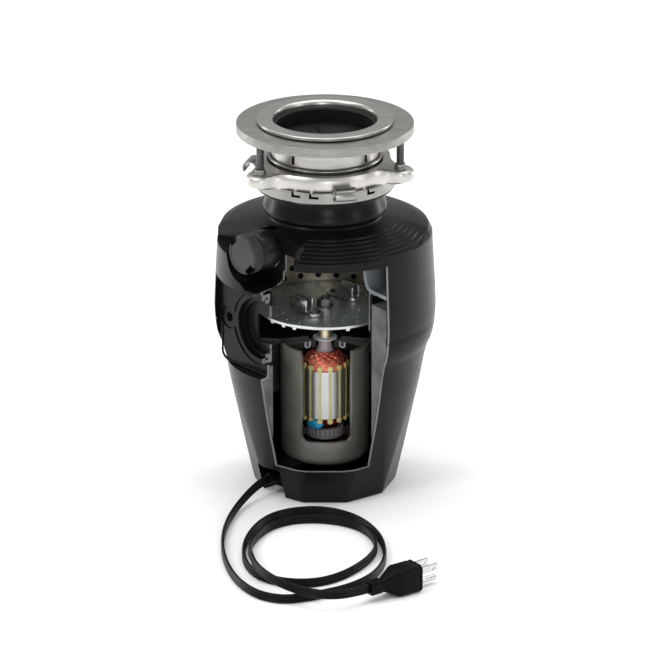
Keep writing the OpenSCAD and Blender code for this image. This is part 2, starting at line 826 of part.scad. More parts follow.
module power_cord() {
    rings = len(cord_route);
    points = [for (i = [0:rings - 1]) each cord_ring(i)];
    sides = [for (i = [0:rings - 2], k = [0:7])
        [8 * i + k, 8 * i + (k + 1) % 8, 8 * (i + 1) + (k + 1) % 8, 8 * (i + 1) + k]];
    caps = [[for (k = [7:-1:0]) k], [for (k = [0:7]) 8 * (rings - 1) + k]];
    color([0.08, 0.08, 0.08]) polyhedron(points, concat(sides, caps), convexity = 10);
}

// Places what is built along +X at the plug, pointing away from the cord
module at_plug() {
    end = cord_route[len(cord_route) - 1];
    translate([end[0], end[1], plug_z]) rotate([0, 0, plug_azimuth - 90]) children();
}

module plug_body() {
    color([0.07, 0.07, 0.07]) at_plug() union() {
        rotate([0, 90, 0]) cylinder(r = 5.6, h = plug_flare_start + 1);
        hull() {
            translate([plug_flare_start, -5, -5.5]) cube([1, 10, 11]);
            translate([plug_flare_end, -plug_half_w, -plug_half_h])
                cube([1, 2 * plug_half_w, 2 * plug_half_h]);
        }
        translate([plug_flare_end, -plug_half_w, -plug_half_h])
            cube([plug_face - plug_flare_end, 2 * plug_half_w, 2 * plug_half_h]);
    }
}

module plug_blades() {
    color("silver") at_plug() for (side = [-1, 1]) difference() {
        translate([plug_face, side * 6.35 - 0.75, 2.4]) cube([17, 1.5, 6.3]);
        translate([plug_face + 12, side * 6.35 - 2, 5.55]) rotate([-90, 0, 0]) cylinder(r = 1.6, h = 4);
    }
}

module ground_pin() {
    color("silver") at_plug() translate([plug_face, 0, -6.3]) rotate([0, 90, 0]) {
        cylinder(r = 2.4, h = 19);
        translate([0, 0, 19]) cylinder(r1 = 2.4, r2 = 1.2, h = 2);
    }
}

// Every part, drawn when it is chosen
sink_flange();
flange_gasket();
backup_ring();
snap_ring();
mounting_ring();
mount_screw_1();
mount_screw_2();
mount_screw_3();
screw_collars();
lock_ring();
mount_gasket();
splash_guard();
upper_housing();
lower_housing();
seam_gasket();
insulation();
hopper();
grind_ring();
grind_ring_gasket();
drain_chamber();
turntable();
lug_a();
lug_b();
lug_rivets();
hub_nut();
motor_shaft();
shaft_sleeve();
slinger_washer();
shaft_collar();
upper_bearing();
bearing_retainer();
upper_end_frame();
motor_can();
magnet_left();
magnet_right();
armature_core();
slot_liners();
winding_top();
winding_bottom();
balancing_putty();
commutator();
brush_plate();
brushes();
brush_springs();
lower_bearing();
inlet_nipple();
inlet_cap();
discharge_port();
discharge_gasket();
base_plate();
housing_screws();
overload_protector();
reset_button();
strain_relief();
power_cord();
plug_body();
plug_blades();
ground_pin();
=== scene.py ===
import json
import math

import bmesh
import bpy
from mathutils import Matrix, Vector


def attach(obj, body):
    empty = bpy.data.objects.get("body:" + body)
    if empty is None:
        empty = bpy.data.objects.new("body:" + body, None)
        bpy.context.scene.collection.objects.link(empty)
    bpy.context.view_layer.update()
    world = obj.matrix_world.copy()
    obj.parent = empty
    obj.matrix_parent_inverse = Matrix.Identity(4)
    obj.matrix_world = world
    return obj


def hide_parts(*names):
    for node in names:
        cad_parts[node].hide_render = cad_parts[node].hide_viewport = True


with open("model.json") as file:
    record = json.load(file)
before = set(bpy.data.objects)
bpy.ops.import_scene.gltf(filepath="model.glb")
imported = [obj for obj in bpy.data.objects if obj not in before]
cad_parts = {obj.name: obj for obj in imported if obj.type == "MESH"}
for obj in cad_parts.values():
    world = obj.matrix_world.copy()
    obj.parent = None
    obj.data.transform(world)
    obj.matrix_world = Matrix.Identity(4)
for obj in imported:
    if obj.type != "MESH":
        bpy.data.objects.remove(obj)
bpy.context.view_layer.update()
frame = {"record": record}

MM = 0.001


# ---------------------------------------------------------------- camera and light

LENS = 293.5
SENSOR = 36.0
CAMERA_PLACE = (0.0, -4.2, 1.7)
CAMERA_AIM = (0.0, 0.0, 0.139)
WORLD_LIGHT = 0.45
FLOOR_REACH = 6.0
SOFT_BOXES = [
    # name, place, aimed at, width and height, power
    ("key_box", (-1.3, -1.2, 1.6), (0, 0, 0.1), (0.6, 0.6), 11.0),
    ("fill_box", (1.5, -0.9, 0.8), (0, 0, 0.15), (0.25, 1.0), 3.5),
    ("front_box", (0.25, -2.6, 0.55), (0, 0, 0.13), (0.5, 0.3), 7.0),
    ("top_box", (0.0, 0.4, 2.8), (0, 0, 0.0), (3.6, 2.6), 74.0),
    ("rim_left", (-1.2, 0.6, 0.5), (0, 0, 0.2), (0.16, 1.0), 5.0),
    ("rim_right", (1.2, 0.7, 0.5), (0, 0, 0.2), (0.16, 1.0), 5.0),
]


def facing(place, target):
    """The rotation that looks from a place to a target."""
    return (Vector(target) - Vector(place)).to_track_quat("-Z", "Y").to_euler()


def make_camera():
    """A long lens from the front, 20 degrees above the level."""
    data = bpy.data.cameras.new("camera")
    data.lens = LENS
    data.sensor_width = SENSOR
    data.clip_end = 20.0
    camera = bpy.data.objects.new("camera", data)
    bpy.context.collection.objects.link(camera)
    camera.location = CAMERA_PLACE
    camera.rotation_euler = facing(CAMERA_PLACE, CAMERA_AIM)
    bpy.context.scene.camera = camera


def area_light(name, place, target, size, power):
    data = bpy.data.lights.new(name, "AREA")
    data.shape = "RECTANGLE"
    data.size, data.size_y = size
    data.energy = power
    lamp = bpy.data.objects.new(name, data)
    bpy.context.collection.objects.link(lamp)
    lamp.location = place
    lamp.rotation_euler = facing(place, target)


def make_studio():
    """A pale seamless floor, a white surround and soft boxes."""
    world = bpy.data.worlds.new("studio")
    bpy.context.scene.world = world
    world.use_nodes = True
    background = world.node_tree.nodes["Background"]
    background.inputs["Color"].default_value = (1.0, 1.0, 1.0, 1.0)
    background.inputs["Strength"].default_value = WORLD_LIGHT
    for soft_box in SOFT_BOXES:
        area_light(*soft_box)
    make_floor()
    bpy.context.scene.view_settings.view_transform = "Standard"


def make_floor():
    corners = [(-1, -1), (1, -1), (1, 1), (-1, 1)]
    mesh = bpy.data.meshes.new("floor")
    mesh.from_pydata([(x * FLOOR_REACH, y * FLOOR_REACH, 0) for x, y in corners], [], [(0, 1, 2, 3)])
    floor = bpy.data.objects.new("floor", mesh)
    bpy.context.collection.objects.link(floor)
    floor.data.materials.append(floor_material())


def floor_material():
    material = bpy.data.materials.new("floor_white")
    material.use_nodes = True
    shader = material.node_tree.nodes["Principled BSDF"]
    shader.inputs["Base Color"].default_value = (0.93, 0.93, 0.93, 1.0)
    shader.inputs["Roughness"].default_value = 0.9
    return material


# ---------------------------------------------------------------- materials

EVEN = (1.0, 1.0, 1.0)


class Look:
    """One procedural material; each method adds a layer to it."""

    def __init__(self, name, metallic=0.0, specular=0.5):
        self.material = bpy.data.materials.new(name)
        self.material.use_nodes = True
        self.nodes = self.material.node_tree.nodes
        self.links = self.material.node_tree.links
        self.shader = self.nodes["Principled BSDF"]
        self.shader.inputs["Metallic"].default_value = metallic
        self.shader.inputs["Specular IOR Level"].default_value = specular
        self.place = self.nodes.new("ShaderNodeTexCoord").outputs["Object"]

    def noise(self, scale, detail, stretch):
        mapping = self.nodes.new("ShaderNodeMapping")
        mapping.inputs["Scale"].default_value = stretch
        self.links.new(self.place, mapping.inputs["Vector"])
        noise = self.nodes.new("ShaderNodeTexNoise")
        noise.inputs["Scale"].default_value = scale
        noise.inputs["Detail"].default_value = detail
        self.links.new(mapping.outputs["Vector"], noise.inputs["Vector"])
        return noise.outputs["Fac"]

    def colour(self, low, high, scale, stretch=EVEN):
        ramp = self.nodes.new("ShaderNodeValToRGB")
        ramp.color_ramp.elements[0].position = 0.35
        ramp.color_ramp.elements[0].color = (*low, 1.0)
        ramp.color_ramp.elements[1].position = 0.65
        ramp.color_ramp.elements[1].color = (*high, 1.0)
        self.links.new(self.noise(scale, 5.0, stretch), ramp.inputs["Fac"])
        self.links.new(ramp.outputs["Color"], self.shader.inputs["Base Color"])

    def rough(self, low, high, scale, stretch=EVEN):
        spread = self.nodes.new("ShaderNodeMapRange")
        spread.inputs["To Min"].default_value = low
        spread.inputs["To Max"].default_value = high
        self.links.new(self.noise(scale, 3.0, stretch), spread.inputs["Value"])
        self.links.new(spread.outputs["Result"], self.shader.inputs["Roughness"])

    def bump(self, scale, depth, stretch=EVEN):
        bump = self.nodes.new("ShaderNodeBump")
        bump.inputs["Strength"].default_value = 1.0
        bump.inputs["Distance"].default_value = depth
        self.links.new(self.noise(scale, 3.0, stretch), bump.inputs["Height"])
        self.links.new(bump.outputs["Normal"], self.shader.inputs["Normal"])


def metal(name, low, high, rough, grain=0.000004, scale=900.0, stretch=EVEN):
    look = Look(name, metallic=1.0)
    look.colour(low, high, scale=35.0, stretch=stretch)
    look.rough(*rough, scale=260.0, stretch=stretch)
    look.bump(scale, grain, stretch=stretch)
    return look.material


def plastic(name, low, high, rough=(0.35, 0.5), grain=0.00001, scale=1500.0, specular=0.5):
    look = Look(name, specular=specular)
    look.colour(low, high, scale=45.0)
    look.rough(*rough, scale=90.0)
    look.bump(scale, grain)
    return look.material


def grey(value, tint=EVEN):
    return tuple(value * part for part in tint)


WARM = (1.0, 0.975, 0.93)
COOL = (0.95, 0.98, 1.0)
BLUISH = (0.9, 1.0, 1.08)
BRUSHED = (1.0, 7.0, 7.0)
LESS_BRUSHED = (1.0, 6.0, 6.0)
LAMINATED = (1.0, 1.0, 0.15)

# Two colours that the surface varies between, two roughnesses, depth and scale of its grain; then for
# metals how the grain is stretched, and for plastics the specular level
METALS = {
    "satin_nickel": (grey(0.58, WARM), grey(0.70, WARM), (0.32, 0.44)),
    "bright_steel": (grey(0.28, WARM), grey(0.38, WARM), (0.24, 0.36)),
    "brushed_nickel": (grey(0.30, WARM), grey(0.37, WARM), (0.38, 0.48), 0.00001, 260.0, BRUSHED),
    "flange_steel": (grey(0.44, WARM), grey(0.52, WARM), (0.26, 0.38), 0.00001, 260.0, LESS_BRUSHED),
    "lug_steel": (grey(0.62), grey(0.78), (0.22, 0.34)),
    "screw_steel": (grey(0.10), grey(0.18), (0.35, 0.5)),
    "ring_steel": ((0.52, 0.48, 0.37), (0.68, 0.64, 0.52), (0.45, 0.6)),
    "table_steel": (grey(0.66, COOL), grey(0.82, COOL), (0.34, 0.48)),
    "brass_sleeve": ((0.72, 0.60, 0.42), (0.90, 0.80, 0.62), (0.42, 0.52)),
    "bronze": ((0.12, 0.09, 0.06), (0.20, 0.15, 0.10), (0.4, 0.5)),
    "core_steel": (grey(0.66), grey(0.82), (0.36, 0.48), 0.00003, 1500.0, LAMINATED),
    # copper_top and copper_bottom are one copper: copper_bottom is its darker copy, painted shade on the
    # lower winding
    "copper_top": ((0.72, 0.13, 0.08), (1.0, 0.40, 0.28), (0.26, 0.40)),
    "copper_bottom": ((0.34, 0.05, 0.03), (0.62, 0.14, 0.08), (0.3, 0.45)),
    "blade_steel": (grey(0.6), grey(0.72), (0.2, 0.3)),
    "can_edge": (grey(0.60), grey(0.72), (0.35, 0.45)),
}
PLASTICS = {
    "cap_grey": (grey(0.030), grey(0.042), (0.42, 0.52), 0.00001, 1800.0, 0.35),
    "black_rubber": (grey(0.005), grey(0.009), (0.4, 0.6), 0.00002, 700.0, 0.25),
    "housing_black": (grey(0.0036), grey(0.0050), (0.26, 0.34), 0.000005, 2200.0, 0.17),
    "inner_black": (grey(0.006), grey(0.011), (0.3, 0.45), 0.00001, 1400.0, 0.3),
    "foam_grey": (grey(0.11), grey(0.20), (0.8, 0.95), 0.00016, 900.0, 0.2),
    "hopper_grey": (grey(0.30, BLUISH), grey(0.38, BLUISH)),
    "white_plastic": (grey(0.78, COOL), grey(0.88, COOL), (0.25, 0.35)),
    "mauve_collar": ((0.42, 0.36, 0.38), (0.54, 0.48, 0.50), (0.3, 0.4)),
    "can_paint": ((0.175, 0.182, 0.160), (0.215, 0.222, 0.198), (0.26, 0.36), 0.00001, 1500.0, 0.6),
    "ferrite": (grey(0.03), grey(0.06), (0.6, 0.8), 0.00003),
    "liner_yellow": ((0.66, 0.58, 0.22), (0.84, 0.77, 0.36), (0.4, 0.5)),
    "putty_blue": ((0.01, 0.26, 0.50), (0.02, 0.38, 0.68), (0.3, 0.45), 0.00025, 260.0),
    "commutator_grey": (grey(0.26), grey(0.38), (0.35, 0.5)),
    "phenolic": ((0.03, 0.016, 0.010), (0.06, 0.03, 0.02), (0.4, 0.5)),
    "carbon": (grey(0.03), grey(0.05), (0.5, 0.6)),
    "button_red": ((0.42, 0.01, 0.01), (0.55, 0.02, 0.02), (0.25, 0.35)),
    "cord_black": (grey(0.004), grey(0.006), (0.30, 0.40), 0.000006, 1500.0, 0.13),
    "plug_black": (grey(0.0025), grey(0.0040), (0.32, 0.42), 0.000006, 1500.0, 0.08),
    "cut_edge": (grey(0.22), grey(0.28), (0.5, 0.6)),
}
MATERIALS = {name: metal(name, *look) for name, look in METALS.items()}
MATERIALS.update({name: plastic(name, *look) for name, look in PLASTICS.items()})
SKIN = MATERIALS["housing_black"]
DARK = MATERIALS["inner_black"]
EDGE = MATERIALS["cut_edge"]

# Nodes that look different from the rest of their slot
OWN_LOOK = {
    "upper_end_frame": "inner_black",
    "upper_bearing": "inner_black",
    "backup_ring": "brushed_nickel",
}
BODY = {node: body for body, nodes in frame["record"]["behaviour"]["bodies"].items() for node in nodes}
SLOT = {row["node"]: row["material_slot"] for row in frame["record"]["subparts"]}


def dress_cad_nodes():
    """Gives every CAD node the material of its slot."""
    for node, slot in SLOT.items():
        mesh = bpy.data.objects[node].data
        mesh.materials.clear()
        mesh.materials.append(MATERIALS[OWN_LOOK.get(node, slot)])


# ---------------------------------------------------------------- mesh tools

def polar(radius, azimuth):
    """A plan point at an azimuth in degrees, from the front (-Y) towards the right (+X)."""
    turn = math.radians(azimuth)
    return Vector((radius * math.sin(turn), -radius * math.cos(turn)))


def new_object(name, vertices, faces, material=None):
    """A mesh object from points in millimetres."""
    mesh = bpy.data.meshes.new(name)
    mesh.from_pydata([(x * MM, y * MM, z * MM) for x, y, z in vertices], [], faces)
    mesh.validate()
    piece = bpy.data.objects.new(name, mesh)
    bpy.context.collection.objects.link(piece)
    if material:
        mesh.materials.append(material)
    return piece


def tube_faces(rings, sides):
    """Faces of rings of points, one after another, closed at both ends."""
    faces = []
    for ring in range(rings - 1):
        base = ring * sides
        for i in range(sides):
            j = (i + 1) % sides
            faces.append((base + i, base + j, base + sides + j, base + sides + i))
    faces.append(tuple(reversed(range(sides))))
    faces.append(tuple((rings - 1) * sides + i for i in range(sides)))
    return faces


def shift(piece, x=0.0, y=0.0, z=0.0):
    """Moves a piece's points, in millimetres."""
    piece.data.transform(Matrix.Translation((x * MM, y * MM, z * MM)))
    return piece


def settle(piece):
    """Applies a piece's modifiers."""
    depsgraph = bpy.context.evaluated_depsgraph_get()
    mesh = bpy.data.meshes.new_from_object(piece.evaluated_get(depsgraph))
    piece.modifiers.clear()
    piece.data = mesh
    return piece


def weld(piece, distance=0.00001):
    """Merges points that coincide and turns all faces outward."""
    work = bmesh.new()
    work.from_mesh(piece.data)
    bmesh.ops.remove_doubles(work, verts=work.verts, dist=distance)
    bmesh.ops.dissolve_degenerate(work, edges=work.edges, dist=distance)
    bmesh.ops.recalc_face_normals(work, faces=work.faces)
    work.to_mesh(piece.data)
    work.free()
    return piece


def smooth(piece, angle=32.0):
    """Smooth shading, with creases sharper than the angle kept."""
    piece.data.shade_smooth()
    piece.data.set_sharp_from_angle(angle=math.radians(angle))
    return piece


def bevel(piece, width, segments=2, angle=35.0):
    """Rounds a piece's sharp edges, by width in millimetres."""
    modifier = piece.modifiers.new("bevel", "BEVEL")
    modifier.width = width * MM
    modifier.segments = segments
    modifier.limit_method = "ANGLE"
    modifier.angle_limit = math.radians(angle)
    modifier.use_clamp_overlap = True
    return settle(piece)


def combine(piece, other, operation):
    """Boolean of a piece with another; cut faces take the other's material."""
    modifier = piece.modifiers.new("boolean", "BOOLEAN")
    modifier.operation = operation
    modifier.solver = "EXACT"
    modifier.material_mode = "TRANSFER"
    modifier.object = other
    settle(piece)
    bpy.data.objects.remove(other)
    return piece


def cut(piece, *cutters):
    """Takes cutters away from a piece, and removes them."""
    for cutter in cutters:
        combine(piece, cutter, "DIFFERENCE")
    return piece


def stand_in(piece, node):
    """Puts a finished piece in the place of a CAD node."""
    if not piece.data.materials:
        piece.data.materials.append(MATERIALS[OWN_LOOK.get(node, SLOT[node])])
    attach(piece, BODY[node])
    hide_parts(node)


def rounded(outline, radius, steps=4):
    """An outline of (r, z) points with its corners turned into arcs."""
    result = []
    count = len(outline)
    for i in range(count):
        corner = Vector(outline[i])
        back = Vector(outline[i - 1]) - corner
        ahead = Vector(outline[(i + 1) % count]) - corner
        reach = min(radius, back.length * 0.45, ahead.length * 0.45)
        first = corner + back.normalized() * reach
        last = corner + ahead.normalized() * reach
        for k in range(steps + 1):
            t = k / steps
            result.append(tuple(first * (1 - t) ** 2 + corner * 2 * t * (1 - t) + last * t ** 2))
    return result


def lathe(name, outline, radius=0.0, sides=160, material=None):
    """Turns a closed outline of (r, z) points about the Z axis; radius rounds its corners."""
    if radius:
        outline = rounded(outline, radius)
    points = []
    for i in range(sides):
        points += [(*polar(r, 360.0 * i / sides), z) for r, z in outline]
    return smooth(weld(new_object(name, points, ring_faces(sides, len(outline)), material)))


def ring_faces(columns, size):
    """Faces of a closed ring of columns that each hold one outline."""
    faces = []
    for i in range(columns):
        a = i * size
        b = ((i + 1) % columns) * size
        for k in range(size):
            j = (k + 1) % size
            faces.append((a + k, b + k, b + j, a + j))
    return faces


def wedge(name, start, end, bottom, top, reach, material):
    """A cutter between two azimuths and two heights."""
    steps = 8
    plan = [Vector((0, 0))] + [polar(reach, start + (end - start) * i / steps) for i in range(steps + 1)]
    points = [(x, y, z) for z in (bottom, top) for x, y in plan]
    return weld(new_object(name, points, tube_faces(2, len(plan)), material))


def outward(piece, azimuth, z):
    """Turns what was made along +Z so that it points outward at an azimuth and a height."""
    turn = Matrix.Rotation(math.radians(azimuth), 4, "Z")
    lift = Matrix.Translation((0, 0, z * MM))
    tip = Matrix.Rotation(math.radians(90), 4, "X")
    piece.data.transform(lift @ turn @ tip)
    return piece


def rod(name, radius, low, high, sides, material):
    """A cylinder along +Z as a cutter or a blank."""
    turns = [math.tau * i / sides for i in range(sides)]
    points = [(radius * math.cos(t), radius * math.sin(t), z) for z in (low, high) for t in turns]
    return new_object(name, points, tube_faces(2, sides), material)


def block(name, low, high, material=None):
    """A box between two corners, in millimetres."""
    (x0, y0, z0), (x1, y1, z1) = low, high
    points = [(x, y, z) for z in (z0, z1) for x, y in ((x0, y0), (x1, y0), (x1, y1), (x0, y1))]
    return new_object(name, points, tube_faces(2, 4), material)


def about(piece, azimuth):
    """Turns a piece about the Z axis."""
    piece.data.transform(Matrix.Rotation(math.radians(azimuth), 4, "Z"))
    return piece


def join(name, pieces):
    """One object from several meshes."""
    work = bmesh.new()
    for piece in pieces:
        work.from_mesh(piece.data)
    mesh = bpy.data.meshes.new(name)
    work.to_mesh(mesh)
    work.free()
    for material in pieces[0].data.materials:
        mesh.materials.append(material)
    for piece in pieces:
        bpy.data.objects.remove(piece)
    result = bpy.data.objects.new(name, mesh)
    bpy.context.collection.objects.link(result)
    return result


# ---------------------------------------------------------------- cord and plug

CORD_ROUTE = [
    (-43.7, -36.7, 15), (-49.5, -41.6, 14.5), (-56, -47.6, 12.7), (-62.5, -55.5, 9.8),
    (-69, -67, 6.8), (-75.5, -84, 4.7), (-81, -108, 4.05), (-84, -134, 4.05),
    (-84.5, -158, 4.05), (-83, -182, 4.05), (-79, -206, 4.05), (-73, -228, 4.05),
    (-65, -246, 4.05), (-55, -260, 4.05), (-44, -268, 4.05), (-31.5, -271, 4.05),
    (-18.5, -268, 4.05), (-3.5, -261.5, 4.05), (12, -253, 4.05), (25.5, -242, 4.05),
    (37, -227, 4.05), (45, -208.5, 4.05), (48.8, -188, 4.05), (48.9, -169, 4.05),
    (46.7, -150, 4.05), (41.6, -131.5, 4.05), (34, -114.5, 4.05), (23.5, -100, 4.05),
    (9.5, -89, 4.05), (-6.5, -84, 4.05), (-22, -85.5, 4.05), (-35.5, -91.5, 4.05),
    (-46.5, -101.5, 4.05), (-55, -116, 4.05), (-61.5, -134, 4.05), (-65.5, -152.5, 4.05),
    (-67, -172, 4.05), (-65.8, -191, 4.05), (-61.3, -208.5, 4.05), (-53.5, -222.5, 4.05),
    (-42, -232, 4.05), (-28, -237.5, 4.05), (-13.5, -238, 4.05), (0, -233.5, 4.05),
    (13, -223.5, 4.05), (25, -208.5, 4.05), (35, -190.5, 4.05), (41, -172, 4.05),
    (41.8, -155.5, 4.05), (39, -140, 4.05), (33.3, -127, 4.05), (24.5, -115.5, 4.05),
    (11.5, -107, 4.05), (-4, -102.5, 4.05), (-20, -103, 4.05), (-34, -108.5, 4.05),
    (-46, -120, 4.05), (-55, -137, 4.2), (-60.3, -156, 5.2), (-61.9, -172, 7.4),
    (-61.6, -188, 10.4), (-60, -203, 12.5), (-57, -219, 12.7), (-51.8, -233.5, 12.7),
    (-44, -247.5, 12.7), (-34, -260.5, 12.7), (-22.5, -271.5, 12.7), (-9, -279.5, 12.7),
    (3, -282.5, 12.7), (14.5, -280.5, 12.4), (25.5, -274.5, 12), (35.5, -267.2, 11.6),
]
CORD_WIDTH = 8.0
CORD_RIB = 1.45     # radius of each of the cord's three ribs
RIB_OFFSET = 2.55   # from the middle rib to the outer ones
WEB = 0.85          # half thickness between the ribs


def smooth_route(points, per_span=6):
    """A Catmull-Rom curve through the route's points."""
    padded = [points[0] * 2 - points[1], *points, points[-1] * 2 - points[-2]]
    result = []
    for i in range(1, len(padded) - 2):
        a, b, c, d = padded[i - 1:i + 3]
        for k in range(per_span):
            t = k / per_span
            result.append(0.5 * (2 * b + (c - a) * t + (2 * a - 5 * b + 4 * c - d) * t ** 2
                                 + (3 * b - a - 3 * c + d) * t ** 3))
    result.append(points[-1].copy())
    return result


def rib_section():
    """Outline of the flat cord: three ribs joined by thin webs, as (sideways, upward) points."""
    heights = [-CORD_WIDTH / 2 * math.cos(math.pi * k / 36) for k in range(37)]
    half = []
    for h in heights:
        near = min((-RIB_OFFSET, 0.0, RIB_OFFSET), key=lambda centre: abs(h - centre))
        rib = math.sqrt(max(CORD_RIB ** 2 - (h - near) ** 2, 0.0))
        inside = abs(h) < RIB_OFFSET
        half.append((max(rib, WEB) if inside else rib, h))
    return half + [(-s, h) for s, h in reversed(half[1:-1])]


def make_cord():
    """The flat cord along its route."""
    route = smooth_route([Vector(point) for point in CORD_ROUTE])
    section = rib_section()
    points = []
    for i, centre in enumerate(route):
        along = (route[min(i + 1, len(route) - 1)] - route[max(i - 1, 0)]).normalized()
        side = along.cross(Vector((0, 0, 1))).normalized()
        up = side.cross(along)
        points += [tuple(centre + side * s + up * h) for s, h in section]
    faces = tube_faces(len(route), len(section))
    cord = smooth(weld(new_object("flat_cord", points, faces, MATERIALS["cord_black"]), 0.000001), 50)
    stand_in(cord, "power_cord")


PLUG_TURN = 36.0


def at_plug(piece):
    """Places what is built along +X at the end of the cord."""
    return shift(about(piece, PLUG_TURN), *CORD_ROUTE[-1])


def loft(name, sections):
    """A closed form through sections; each is x, half width, lowest z, highest z and corner chamfer."""
    points = []
    for x, half, low, high, corner in sections:
        points += [(x, -half + corner, low), (x, half - corner, low), (x, half, low + corner),
                   (x, half, high - corner), (x, half - corner, high), (x, -half + corner, high),
                   (x, -half, high - corner), (x, -half, low + corner)]
    return weld(new_object(name, points, tube_faces(len(sections), 8)))


def make_plug():
    """The moulded plug body: a neck with grip grooves, a flare and a face."""
    body = loft("plug_moulding", [
        (0.0, 4.6, -5.3, 5.3, 1.6), (0.7, 5.1, -5.8, 5.8, 1.8), (11.0, 5.1, -5.8, 5.8, 1.8),
        (11.6, 4.4, -5.1, 5.1, 1.6), (13.0, 4.8, -5.4, 5.4, 1.6), (26.0, 10.0, -11.5, 11.5, 2.6),
        (43.2, 10.0, -11.5, 11.5, 2.6), (43.8, 9.4, -10.9, 10.9, 2.2), (44.6, 9.4, -10.9, 10.9, 2.2),
        (45.2, 10.0, -11.5, 11.5, 2.6), (47.0, 10.0, -11.5, 11.5, 2.6)])
    body.data.materials.append(MATERIALS["plug_black"])
    body = smooth(bevel(body, 0.7, 3, 20), 40)
    stand_in(at_plug(body), "plug_body")


# ---------------------------------------------------------------- housings

SEAM_Z = 150.0
WALL = 2.5
CUT_RIGHT = 35.0
CUT_LEFT = -40.0
CUT_PORT = -46.0
CUT_BOTTOM = 31.0
CUT_TOP = 218.0
CUT_NEAR = 12.0
CUT_FAR = 150.0
PORT_AZIMUTH = -50.0
PORT_Z = 153.0
PORT_FACE = 73.0
PORT_COLLAR = 31.0
PORT_GAP = 0.4
EAR_OFFSET = 37.7
PORT_EAR = 9.4
EAR_NECK = 6.5
PANEL_PLANE = 74.0
PANEL = (-50.0, 65.0, 114.0, 190.0)
INLET_AZIMUTH = -49.0
INLET_Z = 223.0
INLET_PLANE = 63.0
INLET_SHELF = 193.0
INLET_STEP = 217.0
INLET_SCOOP = 25.5
INLET_RIGHT = -16.6
INLET_TOP = 262.0
INLET_HALF = 90.0
CORD_AZIMUTH = -50.0
CORD_PLANE = 42.0
CORD_POCKET = (14.0, 26.0)
GLAND_RADIUS = 7.4
GLAND_Z = 15.0
FOAM_R = 68.0
FLATS = 10
FLAT_BASE = 57.06
FLAT_LEAN = 0.254
LOWER_PROFILE = [(60, 0), (80.6, 96), (84.3, 117), (87.2, 128), (89.8, 133.6), (91.5, 139),
                 (92.3, 144.5), (93, SEAM_Z)]
SHOULDER = [(241.0, 50.0), (234.0, 80.0), (230.5, 87.5), (224.5, 90.3)]
TERRACE_COUNT = 6
TERRACE_FIRST = (63.0, 237.2)
TERRACE_STEP = (4.55, -2.03)
TERRACE_RISE = 1.5
TERRACE_LEFT = -14.2    # azimuth where the terraces start
TERRACE_SLANT = 0.09    # degrees further left for each mm outward
TERRACE_RIGHT = 80.0    # azimuth where they have faded out
TERRACE_STARTS = 1.5    # degrees over which they rise
TERRACE_FADES = 26.0    # degrees over which they fade out


def along(profile, z):
    """Radius of a profile at a height, straight between its points."""
    for (r0, z0), (r1, z1) in zip(profile, profile[1:]):
        if z <= z1:
            return r0 + (r1 - r0) * (z - z0) / (z1 - z0)
    return profile[-1][0]


def soft_least(a, b, blend):
    """The smaller of two lengths, rounded off where they meet."""
    overlap = max(blend - abs(a - b), 0.0) / blend
    return min(a, b) - overlap * overlap * blend / 4.0


def lower_radius(azimuth, z, inset=0.0):
    """The lower housing: round above, with ten flat sides fading in towards the base."""
    pitch = 360.0 / FLATS
    turned = (azimuth + pitch / 2) % pitch - pitch / 2
    flat = (FLAT_BASE + FLAT_LEAN * z - inset) / math.cos(math.radians(turned))
    return soft_least(along(LOWER_PROFILE, z) - inset, flat, 0.15)


def stacked(name, radius_at, heights, sides=360, material=None):
    """A closed solid whose radius depends on azimuth and height."""
    points = []
    for z in heights:
        for i in range(sides):
            azimuth = 360.0 * i / sides
            points.append((*polar(radius_at(azimuth, z), azimuth), z))
    return weld(new_object(name, points, tube_faces(len(heights), sides), material))


def shoulder_z(r):
    """Height of the smooth part of the shoulder at a radius."""
    return along(SHOULDER, r)


def terrace_share(azimuth, r):
    """How far the terraces show at an azimuth: 0 on the smooth shoulder, 1 in their sector."""
    azimuth = (azimuth + 180.0) % 360.0 - 180.0
    left = TERRACE_LEFT - (r - TERRACE_FIRST[0]) * TERRACE_SLANT
    rise = max(0.0, min(1.0, (azimuth - left) / TERRACE_STARTS))
    fall = max(0.0, min(1.0, (TERRACE_RIGHT - azimuth) / TERRACE_FADES))
    return rise * fall


def terrace_steps():
    """Points of the terraces from the outside in, each with its small rounded riser."""
    steps = []
    for i in reversed(range(TERRACE_COUNT + 1)):
        r = TERRACE_FIRST[0] + TERRACE_STEP[0] * i
        z = TERRACE_FIRST[1] + TERRACE_STEP[1] * i
        if i < TERRACE_COUNT:
            steps.append((r + 1.2, z - TERRACE_RISE - 0.05))
            steps.append((r + 0.75, z - TERRACE_RISE + 0.1))
            steps.append((r + 0.6, z - 0.6))
        steps.append((r, z))
        steps.append((r - 0.6, z + 0.05))
    return steps


def upper_outer():
    """Outer form of the upper housing, with its shoulder terraces and its neck."""
    side = [(92.0, SEAM_Z), (92.2, 150.5), (93.0, 151.1), (93.3, 156.0), (93.5, 162.0), (93.0, 175.0),
            (91.9, 195.0), (90.9, 212.0), (90.4, 222.0)]
    neck = [(57.0, 239.4), (54.0, 240.0), (52.0, 240.8), (50.8, 241.6), (50.4, 242.4), (50.9, 243.2),
            (51.8, 244.6), (52.2, 246.4), (51.9, 248.6), (51.0, 251.6), (49.9, 255.0), (49.1, 259.0),
            (48.8, 263.0), (48.8, 269.6), (53.6, 269.6), (54.0, 270.0), (54.0, 271.7), (53.6, 272.1),
            (0.01, 272.1)]
    steps = terrace_steps()
    rows = side + steps + neck
    sides = 480
    points = []
    for row, (r, z) in enumerate(rows):
        on_shoulder = len(side) <= row < len(side) + len(steps)
        for i in range(sides):
            azimuth = 360.0 * i / sides
            share = terrace_share(azimuth, r) if on_shoulder else 1.0
            height = shoulder_z(r) * (1 - share) + z * share
            points.append((*polar(r, azimuth), height))
    return weld(new_object("cover_upper", points, tube_faces(len(rows), sides), SKIN))


